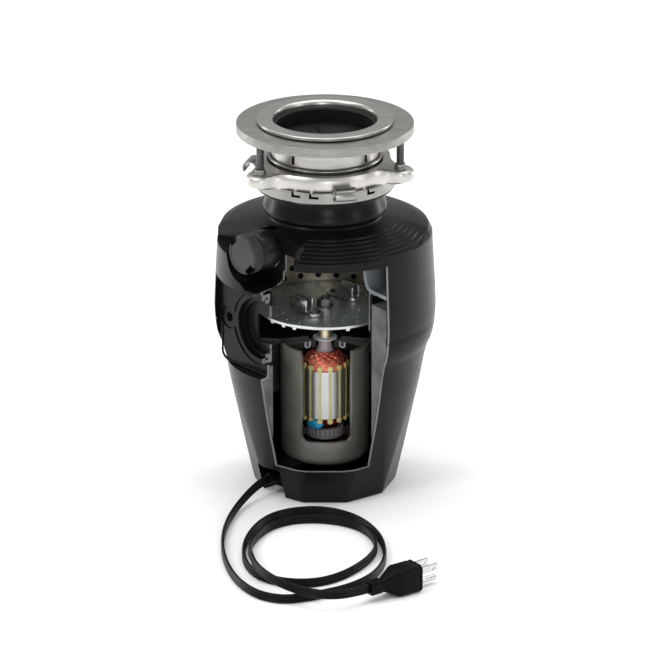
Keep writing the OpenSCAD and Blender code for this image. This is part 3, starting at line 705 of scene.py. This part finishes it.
def sector(name, outline, near, far, material):
    """A cutter whose outline is given in azimuth and height, between two radii."""
    plan = []
    for (a0, z0), (a1, z1) in zip(outline, outline[1:] + outline[:1]):
        pieces = max(1, math.ceil(abs(a1 - a0) / 4.0))
        plan += [(a0 + (a1 - a0) * k / pieces, z0 + (z1 - z0) * k / pieces) for k in range(pieces)]
    count = len(plan)
    points = []
    for reach in (near, far):
        points += [(*polar(reach, azimuth), z) for azimuth, z in plan]
    faces = [(i, (i + 1) % count, count + (i + 1) % count, count + i) for i in range(count)]
    cutter = new_object(name, points, faces, material)
    work = bmesh.new()
    work.from_mesh(cutter.data)
    bmesh.ops.holes_fill(work, edges=[edge for edge in work.edges if edge.is_boundary])
    bmesh.ops.triangulate(work, faces=[face for face in work.faces if len(face.verts) > 4])
    bmesh.ops.recalc_face_normals(work, faces=work.faces)
    work.to_mesh(cutter.data)
    work.free()
    return cutter


CUT_OUTLINE = [
    (CUT_LEFT, CUT_BOTTOM), (CUT_RIGHT, CUT_BOTTOM), (CUT_RIGHT, CUT_TOP), (INLET_RIGHT, CUT_TOP),
    (INLET_RIGHT, 223), (-29.5, 223), (-29.5, 209), (-32, 205), (-32, 199), (-38, 193), (-43, 188),
    (CUT_PORT, 187), (CUT_PORT, 128), (CUT_LEFT, 128)]


def cut_window():
    """The opening that shows the works."""
    return sector("cut_window", CUT_OUTLINE, CUT_NEAR, CUT_FAR, EDGE)


def port_pocket(grow):
    """The flat panel around the discharge port; grow makes it larger for the inside."""
    left, right, low, high = PANEL
    plane = grow - PANEL_PLANE
    pocket = block("port_pocket", (left - grow, plane - 60, low - grow), (right + grow, plane, high + grow),
                   SKIN)
    return about(pocket, PORT_AZIMUTH)


def inlet_pocket(grow):
    """The recess around the dishwasher inlet: a wide step in the shoulder, round below the cap."""
    reach = INLET_SCOOP + grow
    turns = [math.radians(a) for a in range(194, 271, 7)]
    plan = [(-INLET_HALF, INLET_STEP - grow)]
    plan += [(reach * math.cos(t), INLET_Z + reach * math.sin(t)) for t in turns]
    plan += [(4.0, INLET_SHELF - grow), (INLET_HALF, INLET_SHELF - grow), (INLET_HALF, INLET_TOP),
             (-INLET_HALF, INLET_TOP)]
    points = [(x, y, z) for y in (grow - INLET_PLANE, -130.0) for x, z in plan]
    pocket = weld(new_object("inlet_pocket", points, tube_faces(2, len(plan)), SKIN))
    about(pocket, INLET_AZIMUTH)
    keep = wedge("keep", -165.0, INLET_RIGHT + grow * 1.8, 150.0, 280.0, 200.0, SKIN)
    return combine(pocket, keep, "INTERSECT")


def cord_pocket(grow):
    """The recess in the base where the cord leaves."""
    half, top = CORD_POCKET
    plane = grow - CORD_PLANE
    pocket = block("cord_pocket", (-half - grow, plane - 60, -1), (half + grow, plane, top + grow), SKIN)
    return about(pocket, CORD_AZIMUTH)


def port_holes():
    """The openings in the panel that the discharge port and its ear sit in."""
    low, high = 66.0, 96.0
    half = EAR_NECK + PORT_GAP
    collar = rod("hole", PORT_COLLAR + PORT_GAP, low, high, 96, SKIN)
    ear = shift(rod("hole", PORT_EAR + 0.5, low, high, 48, SKIN), x=-EAR_OFFSET)
    neck = block("hole", (-EAR_OFFSET, -half, low), (-EAR_OFFSET + 20, half, high), SKIN)
    return [outward(hole, PORT_AZIMUTH, PORT_Z) for hole in (collar, ear, neck)]


def make_upper_housing():
    cover = upper_outer()
    room = lathe("room", [(0.01, SEAM_Z - 1), (90.5, SEAM_Z - 1), (91.0, 162), (87.8, 219), (84, 223),
                          (54, 234), (0.01, 234)], material=SKIN)
    cut(room, port_pocket(WALL), inlet_pocket(WALL))
    bore = rod("bore", 47, SEAM_Z - 2, 290, 128, SKIN)
    chamber = rod("chamber", FOAM_R + 0.3, SEAM_Z - 3, 192, 128, SKIN)
    nipple_hole = outward(rod("nipple_hole", 17.0, 50, 104, 64, SKIN), INLET_AZIMUTH, INLET_Z)
    cut(cover, room, bore, chamber, port_pocket(0), inlet_pocket(0), nipple_hole)
    cut(cover, *port_holes(), cut_window())
    stand_in(smooth(weld(cover), 35), "upper_housing")


def panel_border():
    """The thin raised line that frames the recessed port panel on the left and below."""
    front = -PANEL_PLANE - 0.2
    left, low, bend = -46.0, 115.0, 8.0
    turns = [math.radians(a) for a in range(180, 271, 10)]
    line = [(left, z) for z in (147, 140, 132)]
    line += [(left + bend + bend * math.cos(t), low + bend + bend * math.sin(t)) for t in turns]
    line += [(x, low) for x in range(-32, 41, 8)]
    points, faces = tube([Vector((x, front, z)) for x, z in line], 1.0, 10)
    return about(new_object("panel_border", points, faces, SKIN), PORT_AZIMUTH)


def make_lower_housing():
    heights = [0, 1.0, 4, 8, 14, 20, 26, 32, 38, 46, 54, 62, 70, 78, 86, 92, 96, 100, 106, 112, 117, 121, 125,
               128, 130, 132, 133.6, 135.4, 137, 139, 142, 144.5, 147.5, 149.4, SEAM_Z]

    def outer(azimuth, z):
        ease = 0.5 if z < 0.5 else 0.0
        seam = 0.9 if z > SEAM_Z - 0.7 else 0.0
        return lower_radius(azimuth, z) - ease - seam

    def inner(azimuth, z):
        return lower_radius(azimuth, max(0, min(z, SEAM_Z)), WALL)

    cover = stacked("cover_lower", outer, heights, material=SKIN)
    room = stacked("room", inner, [-1] + heights[1:-1] + [SEAM_Z + 1], material=SKIN)
    cut(room, port_pocket(WALL), cord_pocket(WALL))
    chamber = rod("chamber", FOAM_R, 90, 190, 128, SKIN)
    gland = outward(rod("gland", GLAND_RADIUS, 20, 80, 48, SKIN), CORD_AZIMUTH, GLAND_Z)
    cut(cover, room, chamber, port_pocket(0), cord_pocket(0), gland, *port_holes())
    cut(cover, cut_window())
    border = cut(panel_border(), cut_window())
    stand_in(smooth(join("cover_lower", [weld(cover), border]), 28), "lower_housing")


# ---------------------------------------------------------------- sink mount

def make_sink_flange():
    """Drain flange with a rolled rim and two upright slots in its sleeve."""
    steel = MATERIALS["flange_steel"]
    piece = lathe("flange_steel", [
        (43.5, 286), (45, 286), (45, 318.5), (46.2, 321.4), (48.5, 322.4), (55.8, 322.1), (56.6, 321.2),
        (57.15, 321.2), (57.15, 323.3), (56.5, 323.9), (48.0, 324.5), (45.4, 324.2), (44.0, 323.0),
        (43.5, 321.0)], 0.45, 240, steel)
    for azimuth in (-36.0, 49.0):
        cut(piece, about(block("slot", (-1.3, -50, 294), (1.3, -40, 306), steel), azimuth))
    stand_in(smooth(weld(piece), 35), "sink_flange")


def make_backup_ring():
    """Thick flat ring with a turned-down edge."""
    piece = lathe("backup_plate", [
        (46, 316.8), (71.95, 316.8), (71.95, 312.6), (74.25, 312.6), (74.25, 320), (46, 320)],
        0.45, sides=240)
    stand_in(piece, "backup_ring")


SCREW_AZIMUTHS = (-52.5, 67.5, 187.5)
SCREW_REACH = 67.7
SCREW_SPAN = (277.2, 316.6)
EAR_RADIUS = 11.5
CAST_RADIUS = 56.0
CAST_TOP = 288.6
CAST_BOTTOM = 272.8
EAR_BOTTOM = 278.0
LOCK_LUGS = (15, 135, 255)


def off_ear(azimuth):
    """Degrees from an azimuth to the nearest ear."""
    return min(abs((azimuth - a + 180) % 360 - 180) for a in SCREW_AZIMUTHS)


def mount_ring_radius(azimuth):
    """Outer radius of the cast ring: round, with three ears flaring out of it."""
    turn = math.radians(off_ear(azimuth))
    inside = EAR_RADIUS ** 2 - (SCREW_REACH * math.sin(turn)) ** 2
    lobe = SCREW_REACH * math.cos(turn) + math.sqrt(inside) if inside > 0 else 0.0
    flare = CAST_RADIUS + 14.5 * math.exp(-(off_ear(azimuth) / 11.5) ** 2)
    return max(lobe, flare)


def cast_section(azimuth):
    """Outline of the cast ring at an azimuth; ear is 1 at an ear's middle and 0 between ears."""
    outer = mount_ring_radius(azimuth)
    ear = math.exp(-(off_ear(azimuth) / 13.0) ** 4)
    high = CAST_TOP
    low = EAR_BOTTOM * ear + CAST_BOTTOM * (1 - ear)
    return [
        (47.6, 286.0), (48.0, 288.0), (49.2, high + 0.3), (51.2, high + 0.2),
        (outer - 4.0, high - 1.1 * ear), (outer - 1.6, high - 1.3 * ear - 0.2),
        (outer - 0.4, high - 2.4), (outer, high - 4.2), (outer, low + 2.2), (outer - 0.6, low + 0.7),
        (outer - 2.0, low), (52.0, low), (49.0, low + 1.5), (47.6, low + 4.0)]


def make_mounting_ring():
    """Cast ring with a rolled upper rim, a skirt that dips between the ears, and the ears themselves."""
    sides = 480
    nickel = MATERIALS["satin_nickel"]
    azimuths = [360.0 * i / sides for i in range(sides)]
    points = [(*polar(r, azimuth), z) for azimuth in azimuths for r, z in cast_section(azimuth)]
    faces = ring_faces(sides, len(cast_section(0)))
    piece = weld(new_object("clamp_casting", points, faces, nickel))
    for azimuth in SCREW_AZIMUTHS:
        x, y = polar(SCREW_REACH, azimuth)
        cut(piece, shift(rod("hole", 3.6, 270, 300, 40, nickel), x, y))
    stand_in(smooth(weld(piece), 40), "mounting_ring")


def thread(name, radius, depth, pitch, span, material):
    """A threaded rod along +Z: its radius follows a helix."""
    sides, per_turn = 28, 6
    low, high = span
    rings = int((high - low) / pitch * per_turn)
    points = []
    for level in range(rings + 1):
        z = low + (high - low) * level / rings
        for i in range(sides):
            phase = (z / pitch - i / sides) % 1.0
            r = radius - depth * abs(2 * phase - 1)
            if level in (0, rings):
                r = radius - depth
            turn = math.tau * i / sides
            points.append((r * math.cos(turn), r * math.sin(turn), z))
    return new_object(name, points, tube_faces(rings + 1, sides), material)


def make_mount_screws():
    steel = MATERIALS["screw_steel"]
    for number, azimuth in enumerate(SCREW_AZIMUTHS, 1):
        piece = smooth(thread(f"thumb_screw_{number}", 3.4, 0.55, 1.6, SCREW_SPAN, steel), 60)
        x, y = polar(SCREW_REACH, azimuth)
        stand_in(shift(piece, x, y), f"mount_screw_{number}")


def rolled_lug(azimuth):
    """A strip of sheet rolled into an open tube, lying along the ring."""
    outside, inside, half = 6.4, 4.9, 9.0
    reach, height = 63.2, 276.0
    turns = [math.radians(a) for a in range(-95, 216, 10)]
    plan = [(outside * math.cos(t), outside * math.sin(t)) for t in turns]
    plan += [(inside * math.cos(t), inside * math.sin(t)) for t in reversed(turns)]
    points = [(x, y - reach, height + z) for x in (-half, half) for y, z in plan]
    lug = weld(new_object("lug", points, tube_faces(2, len(plan))))
    return about(bevel(lug, 0.3, 2, 40), azimuth)


def make_lock_ring():
    """Sheet-steel ring with a curled lower edge, slots and three rolled lugs."""
    steel = MATERIALS["bright_steel"]
    ring = lathe("ring", [
        (51, 264), (55.5, 264), (58.0, 265.0), (59.5, 267.4), (59.5, 276.4), (57.5, 276.4), (57.5, 268.2),
        (56.2, 266.6), (51, 266.2)], 0.5, 240, steel)
    for lug in LOCK_LUGS:
        for turn in (-39, -24, 25):
            cut(ring, about(block("slot", (-4, -62, 271.5), (4, -56, 273.7), steel), lug + turn))
        for turn in (-42, -27, 22):
            cut(ring, about(block("slot", (-1, -62, 271.5), (1.2, -56, 279.5), steel), lug + turn))
    smooth(weld(ring), 35)
    lugs = [smooth(rolled_lug(azimuth), 35) for azimuth in LOCK_LUGS]
    stand_in(join("lock_band", [ring, *lugs]), "lock_ring")


def make_snap_ring():
    """Spring-steel wire ring, open at the back, with three flats pressed into it."""
    reach, height, wire = 46.5, 291.0, 1.3
    flats = (-27.0, 32.0, 150.0)
    start, sweep = -172.0, 344.0
    steps, around = 220, 16
    points = []
    for i in range(steps + 1):
        azimuth = start + sweep * i / steps
        press = max(math.exp(-((azimuth - a) / 1.6) ** 2) for a in flats)
        for k in range(around):
            turn = math.tau * k / around
            r = reach + wire * math.cos(turn) * (1 - 0.45 * press)
            z = height + wire * math.sin(turn) * (1 + 0.35 * press)
            points.append((*polar(r, azimuth), z))
    ring = weld(new_object("wire_ring", points, tube_faces(steps + 1, around)))
    stand_in(smooth(ring, 60), "snap_ring")


# ---------------------------------------------------------------- motor

def make_motor_can():
    """Deep-drawn case with its window; the window's lower corners are round."""
    outside, floor_bend = 37.8, 8.0
    turns = [math.radians(a) for a in range(0, 91, 10)]
    foot = [(outside - floor_bend + floor_bend * math.sin(t), 24 + floor_bend * (1 - math.cos(t)))
            for t in turns]
    can = lathe("motor_case", [(9, 24)] + foot + [
        (outside, 126.0), (37.3, 126.5), (35.1, 126.5), (34.6, 126.0), (34.6, 32), (33.4, 29.2), (30.6, 28),
        (9, 27.2)], sides=240, material=MATERIALS["can_paint"])
    left, right, low, top, corner = -33.0, 37.6, 46.0, 140.0, 5.0
    spread = math.degrees(corner / 36.2)
    turns = [math.radians(a) for a in range(0, 91, 15)]
    outline = [(left, top)]
    outline += [(left + spread * (1 - math.cos(t)), low + corner * (1 - math.sin(t))) for t in turns]
    outline += [(right - spread * (1 - math.sin(t)), low + corner * (1 - math.cos(t))) for t in turns]
    outline += [(right, top)]
    cut(can, sector("window", outline, 24, 60, MATERIALS["can_edge"]))
    stand_in(smooth(weld(can), 35), "motor_can")


def tube(path, radius, sides=6):
    """Points and faces of a thin tube along a path."""
    points = []
    for i, centre in enumerate(path):
        run = (path[min(i + 1, len(path) - 1)] - path[max(i - 1, 0)]).normalized()
        side = run.cross(Vector((0, 0, 1)))
        side = side.normalized() if side.length > 0.001 else Vector((1, 0, 0))
        up = side.cross(run)
        for k in range(sides):
            turn = math.tau * k / sides
            points.append(tuple(centre + side * radius * math.cos(turn) + up * radius * math.sin(turn)))
    return points, tube_faces(len(path), sides)


def strands(name, routes, radius):
    """One mesh of many thin wires."""
    points, faces = [], []
    for route in routes:
        more, cells = tube(route, radius)
        base = len(points)
        points += more
        faces += [tuple(base + k for k in cell) for cell in cells]
    return smooth(new_object(name, points, faces), 80)


SLOTS = 14


def winding_routes(span, dome):
    """Wires that leave one slot, cross the end of the armature and enter another slot."""
    layers, per_slot, steps = 4, 5, 14
    pitch = 360.0 / SLOTS
    routes = []
    for layer in range(layers):
        for slot in range(SLOTS):
            for wire in range(per_slot):
                start = (slot + 0.5 + (wire - per_slot / 2 + 0.5) * 0.17) * pitch + layer * 7.0
                route = []
                for k in range(steps + 1):
                    t = k / steps
                    r, z = dome(t, layer, wire)
                    route.append(Vector((*polar(r, start + span * t), z)))
                routes.append(route)
    return routes


def make_windings():
    """Both ends of the armature's winding, each a core under crossing layers of wire."""
    def top(t, layer, wire):
        rise = math.sin(math.pi * t)
        sway = 0.5 * math.sin(5.1 * wire + 2.3 * layer + 6.0 * t)
        r = 18.6 - (9.6 - 1.8 * layer) * rise ** 1.3 + sway * 0.5
        z = 104.2 + (12.6 - 2.4 * layer) * rise ** 0.55 + sway
        return r, z

    def bottom(t, layer, wire):
        rise = math.sin(math.pi * t)
        sway = 0.45 * math.sin(4.3 * wire + 1.9 * layer + 5.0 * t)
        r = 17.6 - (8.0 - 1.4 * layer) * rise ** 1.2 + sway * 0.4
        z = 60.4 - (8.6 - 2.2 * layer) * rise ** 0.6 + sway
        return r, z

    core_top = lathe("core", [(7.6, 103.6), (15.6, 103.6), (15.4, 107), (12.8, 111.0), (9.8, 113.0),
                              (7.6, 113.4)])
    wires_top = strands("wires", winding_routes(124.0, top), 0.62)
    core_bottom = lathe("core", [(7.6, 60.8), (7.6, 47.5), (9.6, 47.5), (10.0, 51.5), (12.4, 55),
                                 (15.0, 60.8)])
    wires_bottom = strands("wires", winding_routes(-112.0, bottom), 0.6)
    leads = strands("leads", lead_routes(), 0.5)
    stand_in(join("copper_crown", [wires_top, core_top]), "winding_top")
    # the lower winding's darker copper is painted shade
    stand_in(join("copper_base", [wires_bottom, core_bottom, leads]), "winding_bottom")


def lead_routes():
    """Wires that run from the lower winding down to the commutator's hooks."""
    count, steps = 28, 8
    routes = []
    for i in range(count):
        start = i * 360.0 / count
        route = []
        for k in range(steps + 1):
            t = k / steps
            r = 13.0 - 2.4 * math.sin(math.pi * t * 0.8) - 1.2 * t
            azimuth = start + 24.0 * t + 4 * math.sin(i * 2.1)
            route.append(Vector((*polar(r, azimuth), 54.0 - 8.0 * t)))
        routes.append(route)
    return routes


# ---------------------------------------------------------------- ports

CAP_RADIUS = 16.6
CAP_RIBS = 44
CAP_RIBS_FROM = 82.0
CAP_RIBS_TO = 89.6
CAP_LEVELS = [80.6, 81.2, 82.0, 82.3, 89.3, 89.7, 90.8, 91.6, 92.2]


def make_inlet():
    """The ribbed cap and the bulbous barrel that it closes."""
    lid = MATERIALS["cap_grey"]
    barrel = lathe("inlet_barrel", [
        (11, 60), (14.6, 60), (15.6, 62.5), (16.4, 66), (16.6, 69.5), (16.4, 72.5), (15.8, 75), (15.0, 77),
        (14.2, 77.8), (14.2, 79.0), (14.9, 79.8), (14.9, 86), (11, 86)], 0.3, 128)
    stand_in(outward(barrel, INLET_AZIMUTH, INLET_Z), "inlet_nipple")

    def side(azimuth, z):
        ribbed = CAP_RIBS_FROM < z < CAP_RIBS_TO
        rib = 0.22 * math.cos(math.radians(azimuth * CAP_RIBS)) if ribbed else 0.0
        ease = max(0.0, z - 90.8) * 0.9 + max(0.0, 81.2 - z) * 0.8
        return CAP_RADIUS + rib - ease

    cap = stacked("inlet_lid", side, CAP_LEVELS, CAP_RIBS * 8, lid)
    cut(cap, rod("hollow", 15.2, 79, 86.4, 96, SKIN), rod("dish", 13.6, 91.8, 94, 96, lid))
    for turn in (45, 225):
        notch = block("notch", (-5.2, CAP_RADIUS - 4.6, 87.0), (5.2, CAP_RADIUS + 4, 95), SKIN)
        cut(cap, about(notch, turn))
    stand_in(outward(smooth(weld(cap), 35), INLET_AZIMUTH, INLET_Z), "inlet_cap")


def make_discharge_port():
    """Stepped round outlet with a screw ear; its right part goes with the cut-away."""
    ear_low = 67.0
    body = rod("outlet_collar", PORT_COLLAR, 62.0, PORT_FACE, 160, SKIN)
    combine(body, shift(rod("ear", PORT_EAR, ear_low, PORT_FACE, 64, SKIN), x=-EAR_OFFSET), "UNION")
    combine(body, block("neck", (-EAR_OFFSET, -EAR_NECK, ear_low), (-EAR_OFFSET + 16, EAR_NECK, PORT_FACE),
                        SKIN), "UNION")
    for radius, depth in ((26.4, 69.0), (23.0, 64.2)):
        cut(body, rod("step", radius, depth, 90, 128, SKIN))
    cut(body, lathe("groove", [(26.4, 66.2), (28.2, 66.2), (28.2, 69.1), (26.4, 69.1)], 0.0, 128, SKIN))
    cut(body, block("opening", (-12, -15, 50), (19, 9, 80), DARK))
    cut(body, shift(rod("ear_hole", 4.2, 60, 90, 40, DARK), x=-EAR_OFFSET))
    outward(body, PORT_AZIMUTH, PORT_Z)
    window = [(CUT_PORT, 100), (30, 100), (30, 210), (CUT_PORT, 210)]
    cut(body, sector("cut_window", window, CUT_NEAR, CUT_FAR, EDGE))
    bevel(body, 0.45, 2, 40)
    stand_in(smooth(body, 30), "discharge_port")


# ---------------------------------------------------------------- grinding parts

TABLE_Z = 158.0
DIMPLE_RINGS = ((49.0, 24), (41.0, 18), (32.5, 12))
TAB_AZIMUTHS = (-52, -38, -27, 20, 118, 200)
LUGS = (("lug_a", -16.8), ("lug_b", 163.2))
LUG_REACH = 27.7
LUG_REST = -27.4
LUG_LENGTH = 22.0
LUG_FOOT = 2.4


def make_turntable():
    """Thin disc with a bright rim, rings of dimples and tabs bent down under the rim."""
    table = lathe("turntable_disc", [
        (4, 156.2), (6, 155.9), (54.4, 155.9), (55.2, 155.2), (56.4, 155.2), (57, 155.7), (57, 157.6),
        (56.5, 158.1), (55.6, 158.1), (55.0, 157.8), (54.0, 157.7), (4, 157.7)], 0.1, 240,
        MATERIALS["table_steel"])
    pieces = [table]
    for reach, count in DIMPLE_RINGS:
        for i in range(count):
            dimple = lathe("dimple", [(0.01, 157.5), (0.9, 157.5), (0.8, 157.95), (0.4, 158.15),
                                      (0.01, 158.2)], sides=16)
            pieces.append(shift(dimple, *polar(reach, 360.0 * i / count + reach)))
    for azimuth in TAB_AZIMUTHS:
        pieces.append(about(block("tab", (-1.6, -56.6, 153.6), (1.6, -55.4, 155.6)), azimuth))
    stand_in(smooth(join("turntable_disc", pieces), 35), "turntable")


def make_lugs():
    """Swivelling lugs: a flat foot with a rounded end and a folded double blade."""
    steel = MATERIALS["lug_steel"]
    for number, (node, azimuth) in enumerate(LUGS, 1):
        lug = rod("foot", 7.0, 0, LUG_FOOT, 64, steel)
        combine(lug, shift(rod("heel", 6.0, 0, LUG_FOOT, 48, steel), x=-LUG_LENGTH), "UNION")
        combine(lug, block("bar", (-LUG_LENGTH, -6, 0), (0, 6, LUG_FOOT), steel), "UNION")
        for low in (-5.0, 2.4):
            ridge = block("ridge", (-26, low, 1.6), (-6, low + 2.6, 12.4), steel)
            combine(lug, bevel(ridge, 0.9, 3, 40), "UNION")
        combine(lug, block("bridge", (-25.4, -3.0, 1.6), (-8, 3.0, 4.6), steel), "UNION")
        cut(lug, rod("pivot", 3.05, -2, 12, 40, steel))
        bevel(lug, 0.35, 2, 35)
        shift(about(lug, LUG_REST), y=-LUG_REACH, z=TABLE_Z + 0.3)
        about(smooth(lug, 35), azimuth)
        lug.name = f"impeller_{number}"
        stand_in(lug, node)


def make_grind_ring():
    """Thin perforated ring; its front is cut away with the housing."""
    ring = lathe("perforated_ring", [(58.3, 151), (59.8, 151), (59.8, 184), (66.5, 184), (66.5, 185.5),
                                     (58.3, 185.5)], 0.0, 240, MATERIALS["ring_steel"])
    first, pitch = 48.0, 15.3
    near, far = 54.0, 63.0
    for i in range(18):
        azimuth = first + pitch * i
        # the holes' and slots' walls take inner_black: painted shade inside the holes of the steel ring
        for aside, z in ((0.0, 163.4), (7.6, 171.6), (0.0, 179.6)):
            cut(ring, outward(rod("hole", 2.6, near, far, 24, DARK), azimuth + aside, z))
        if i % 3 == 1:
            slot = block("slot", (-1.7, -4.5, near), (1.7, 4.5, far), DARK)
            cut(ring, outward(slot, azimuth + 3.8, 175.0))
    window = [(-72, 140), (39, 140), (39, 195), (-72, 195)]
    cut(ring, sector("cut_window", window, 40, 90, EDGE))
    stand_in(smooth(weld(ring), 35), "grind_ring")


def make_shaft_parts():
    """The flared sleeve under the turntable, the white slinger and the collar."""
    bore = 4.05
    sleeve = lathe("flared_sleeve", [
        (bore, 129.3), (6.6, 129.3), (6.2, 131.5), (6.0, 136), (6.0, 147), (6.6, 150.5), (8.4, 153.2),
        (9.4, 154.2), (9.4, 155.2), (bore, 155.2)], 0.2, sides=96)
    stand_in(sleeve, "shaft_sleeve")
    slinger = lathe("slinger_disc", [
        (bore, 127.2), (8.6, 127.2), (10.2, 128.4), (10.2, 129.0), (8.4, 128.6), (6.6, 129.2),
        (bore, 129.2)], 0.15, sides=96)
    stand_in(slinger, "slinger_washer")
    collar = lathe("shaft_boss", [
        (bore, 114.2), (8.2, 114.2), (8.0, 116.0), (6.4, 119.0), (5.5, 122.5), (5.4, 126.4), (5.0, 127.1),
        (bore, 127.1)], 0.2, sides=96)
    stand_in(collar, "shaft_collar")


def make_putty():
    """A hand-pressed lump of balancing putty on the lower winding."""
    rings, sides = 20, 32
    wide, deep, tall = 7.2, 3.6, 4.7
    points = []
    for i in range(rings + 1):
        lean = math.pi * i / rings
        for k in range(sides):
            turn = math.tau * k / sides
            lump = 1.0 + 0.07 * math.sin(3 * turn + 2 * lean) + 0.05 * math.sin(5 * turn - 3 * lean)
            x = wide * math.sin(lean) * math.cos(turn) * lump
            y = deep * math.sin(lean) * math.sin(turn) * lump
            z = tall * math.cos(lean) * lump
            points.append((x, y - 17.2, z + 55.2))
    lump = weld(new_object("putty_lump", points, tube_faces(rings + 1, sides)))
    stand_in(about(smooth(lump, 80), -28.0), "balancing_putty")


# ---------------------------------------------------------------- the scene

make_camera()
make_studio()
dress_cad_nodes()
make_plug()
make_cord()
make_upper_housing()
make_lower_housing()
make_sink_flange()
make_backup_ring()
make_mounting_ring()
make_mount_screws()
make_lock_ring()
make_snap_ring()
make_motor_can()
make_windings()
make_inlet()
make_discharge_port()
make_turntable()
make_lugs()
make_grind_ring()
make_shaft_parts()
make_putty()
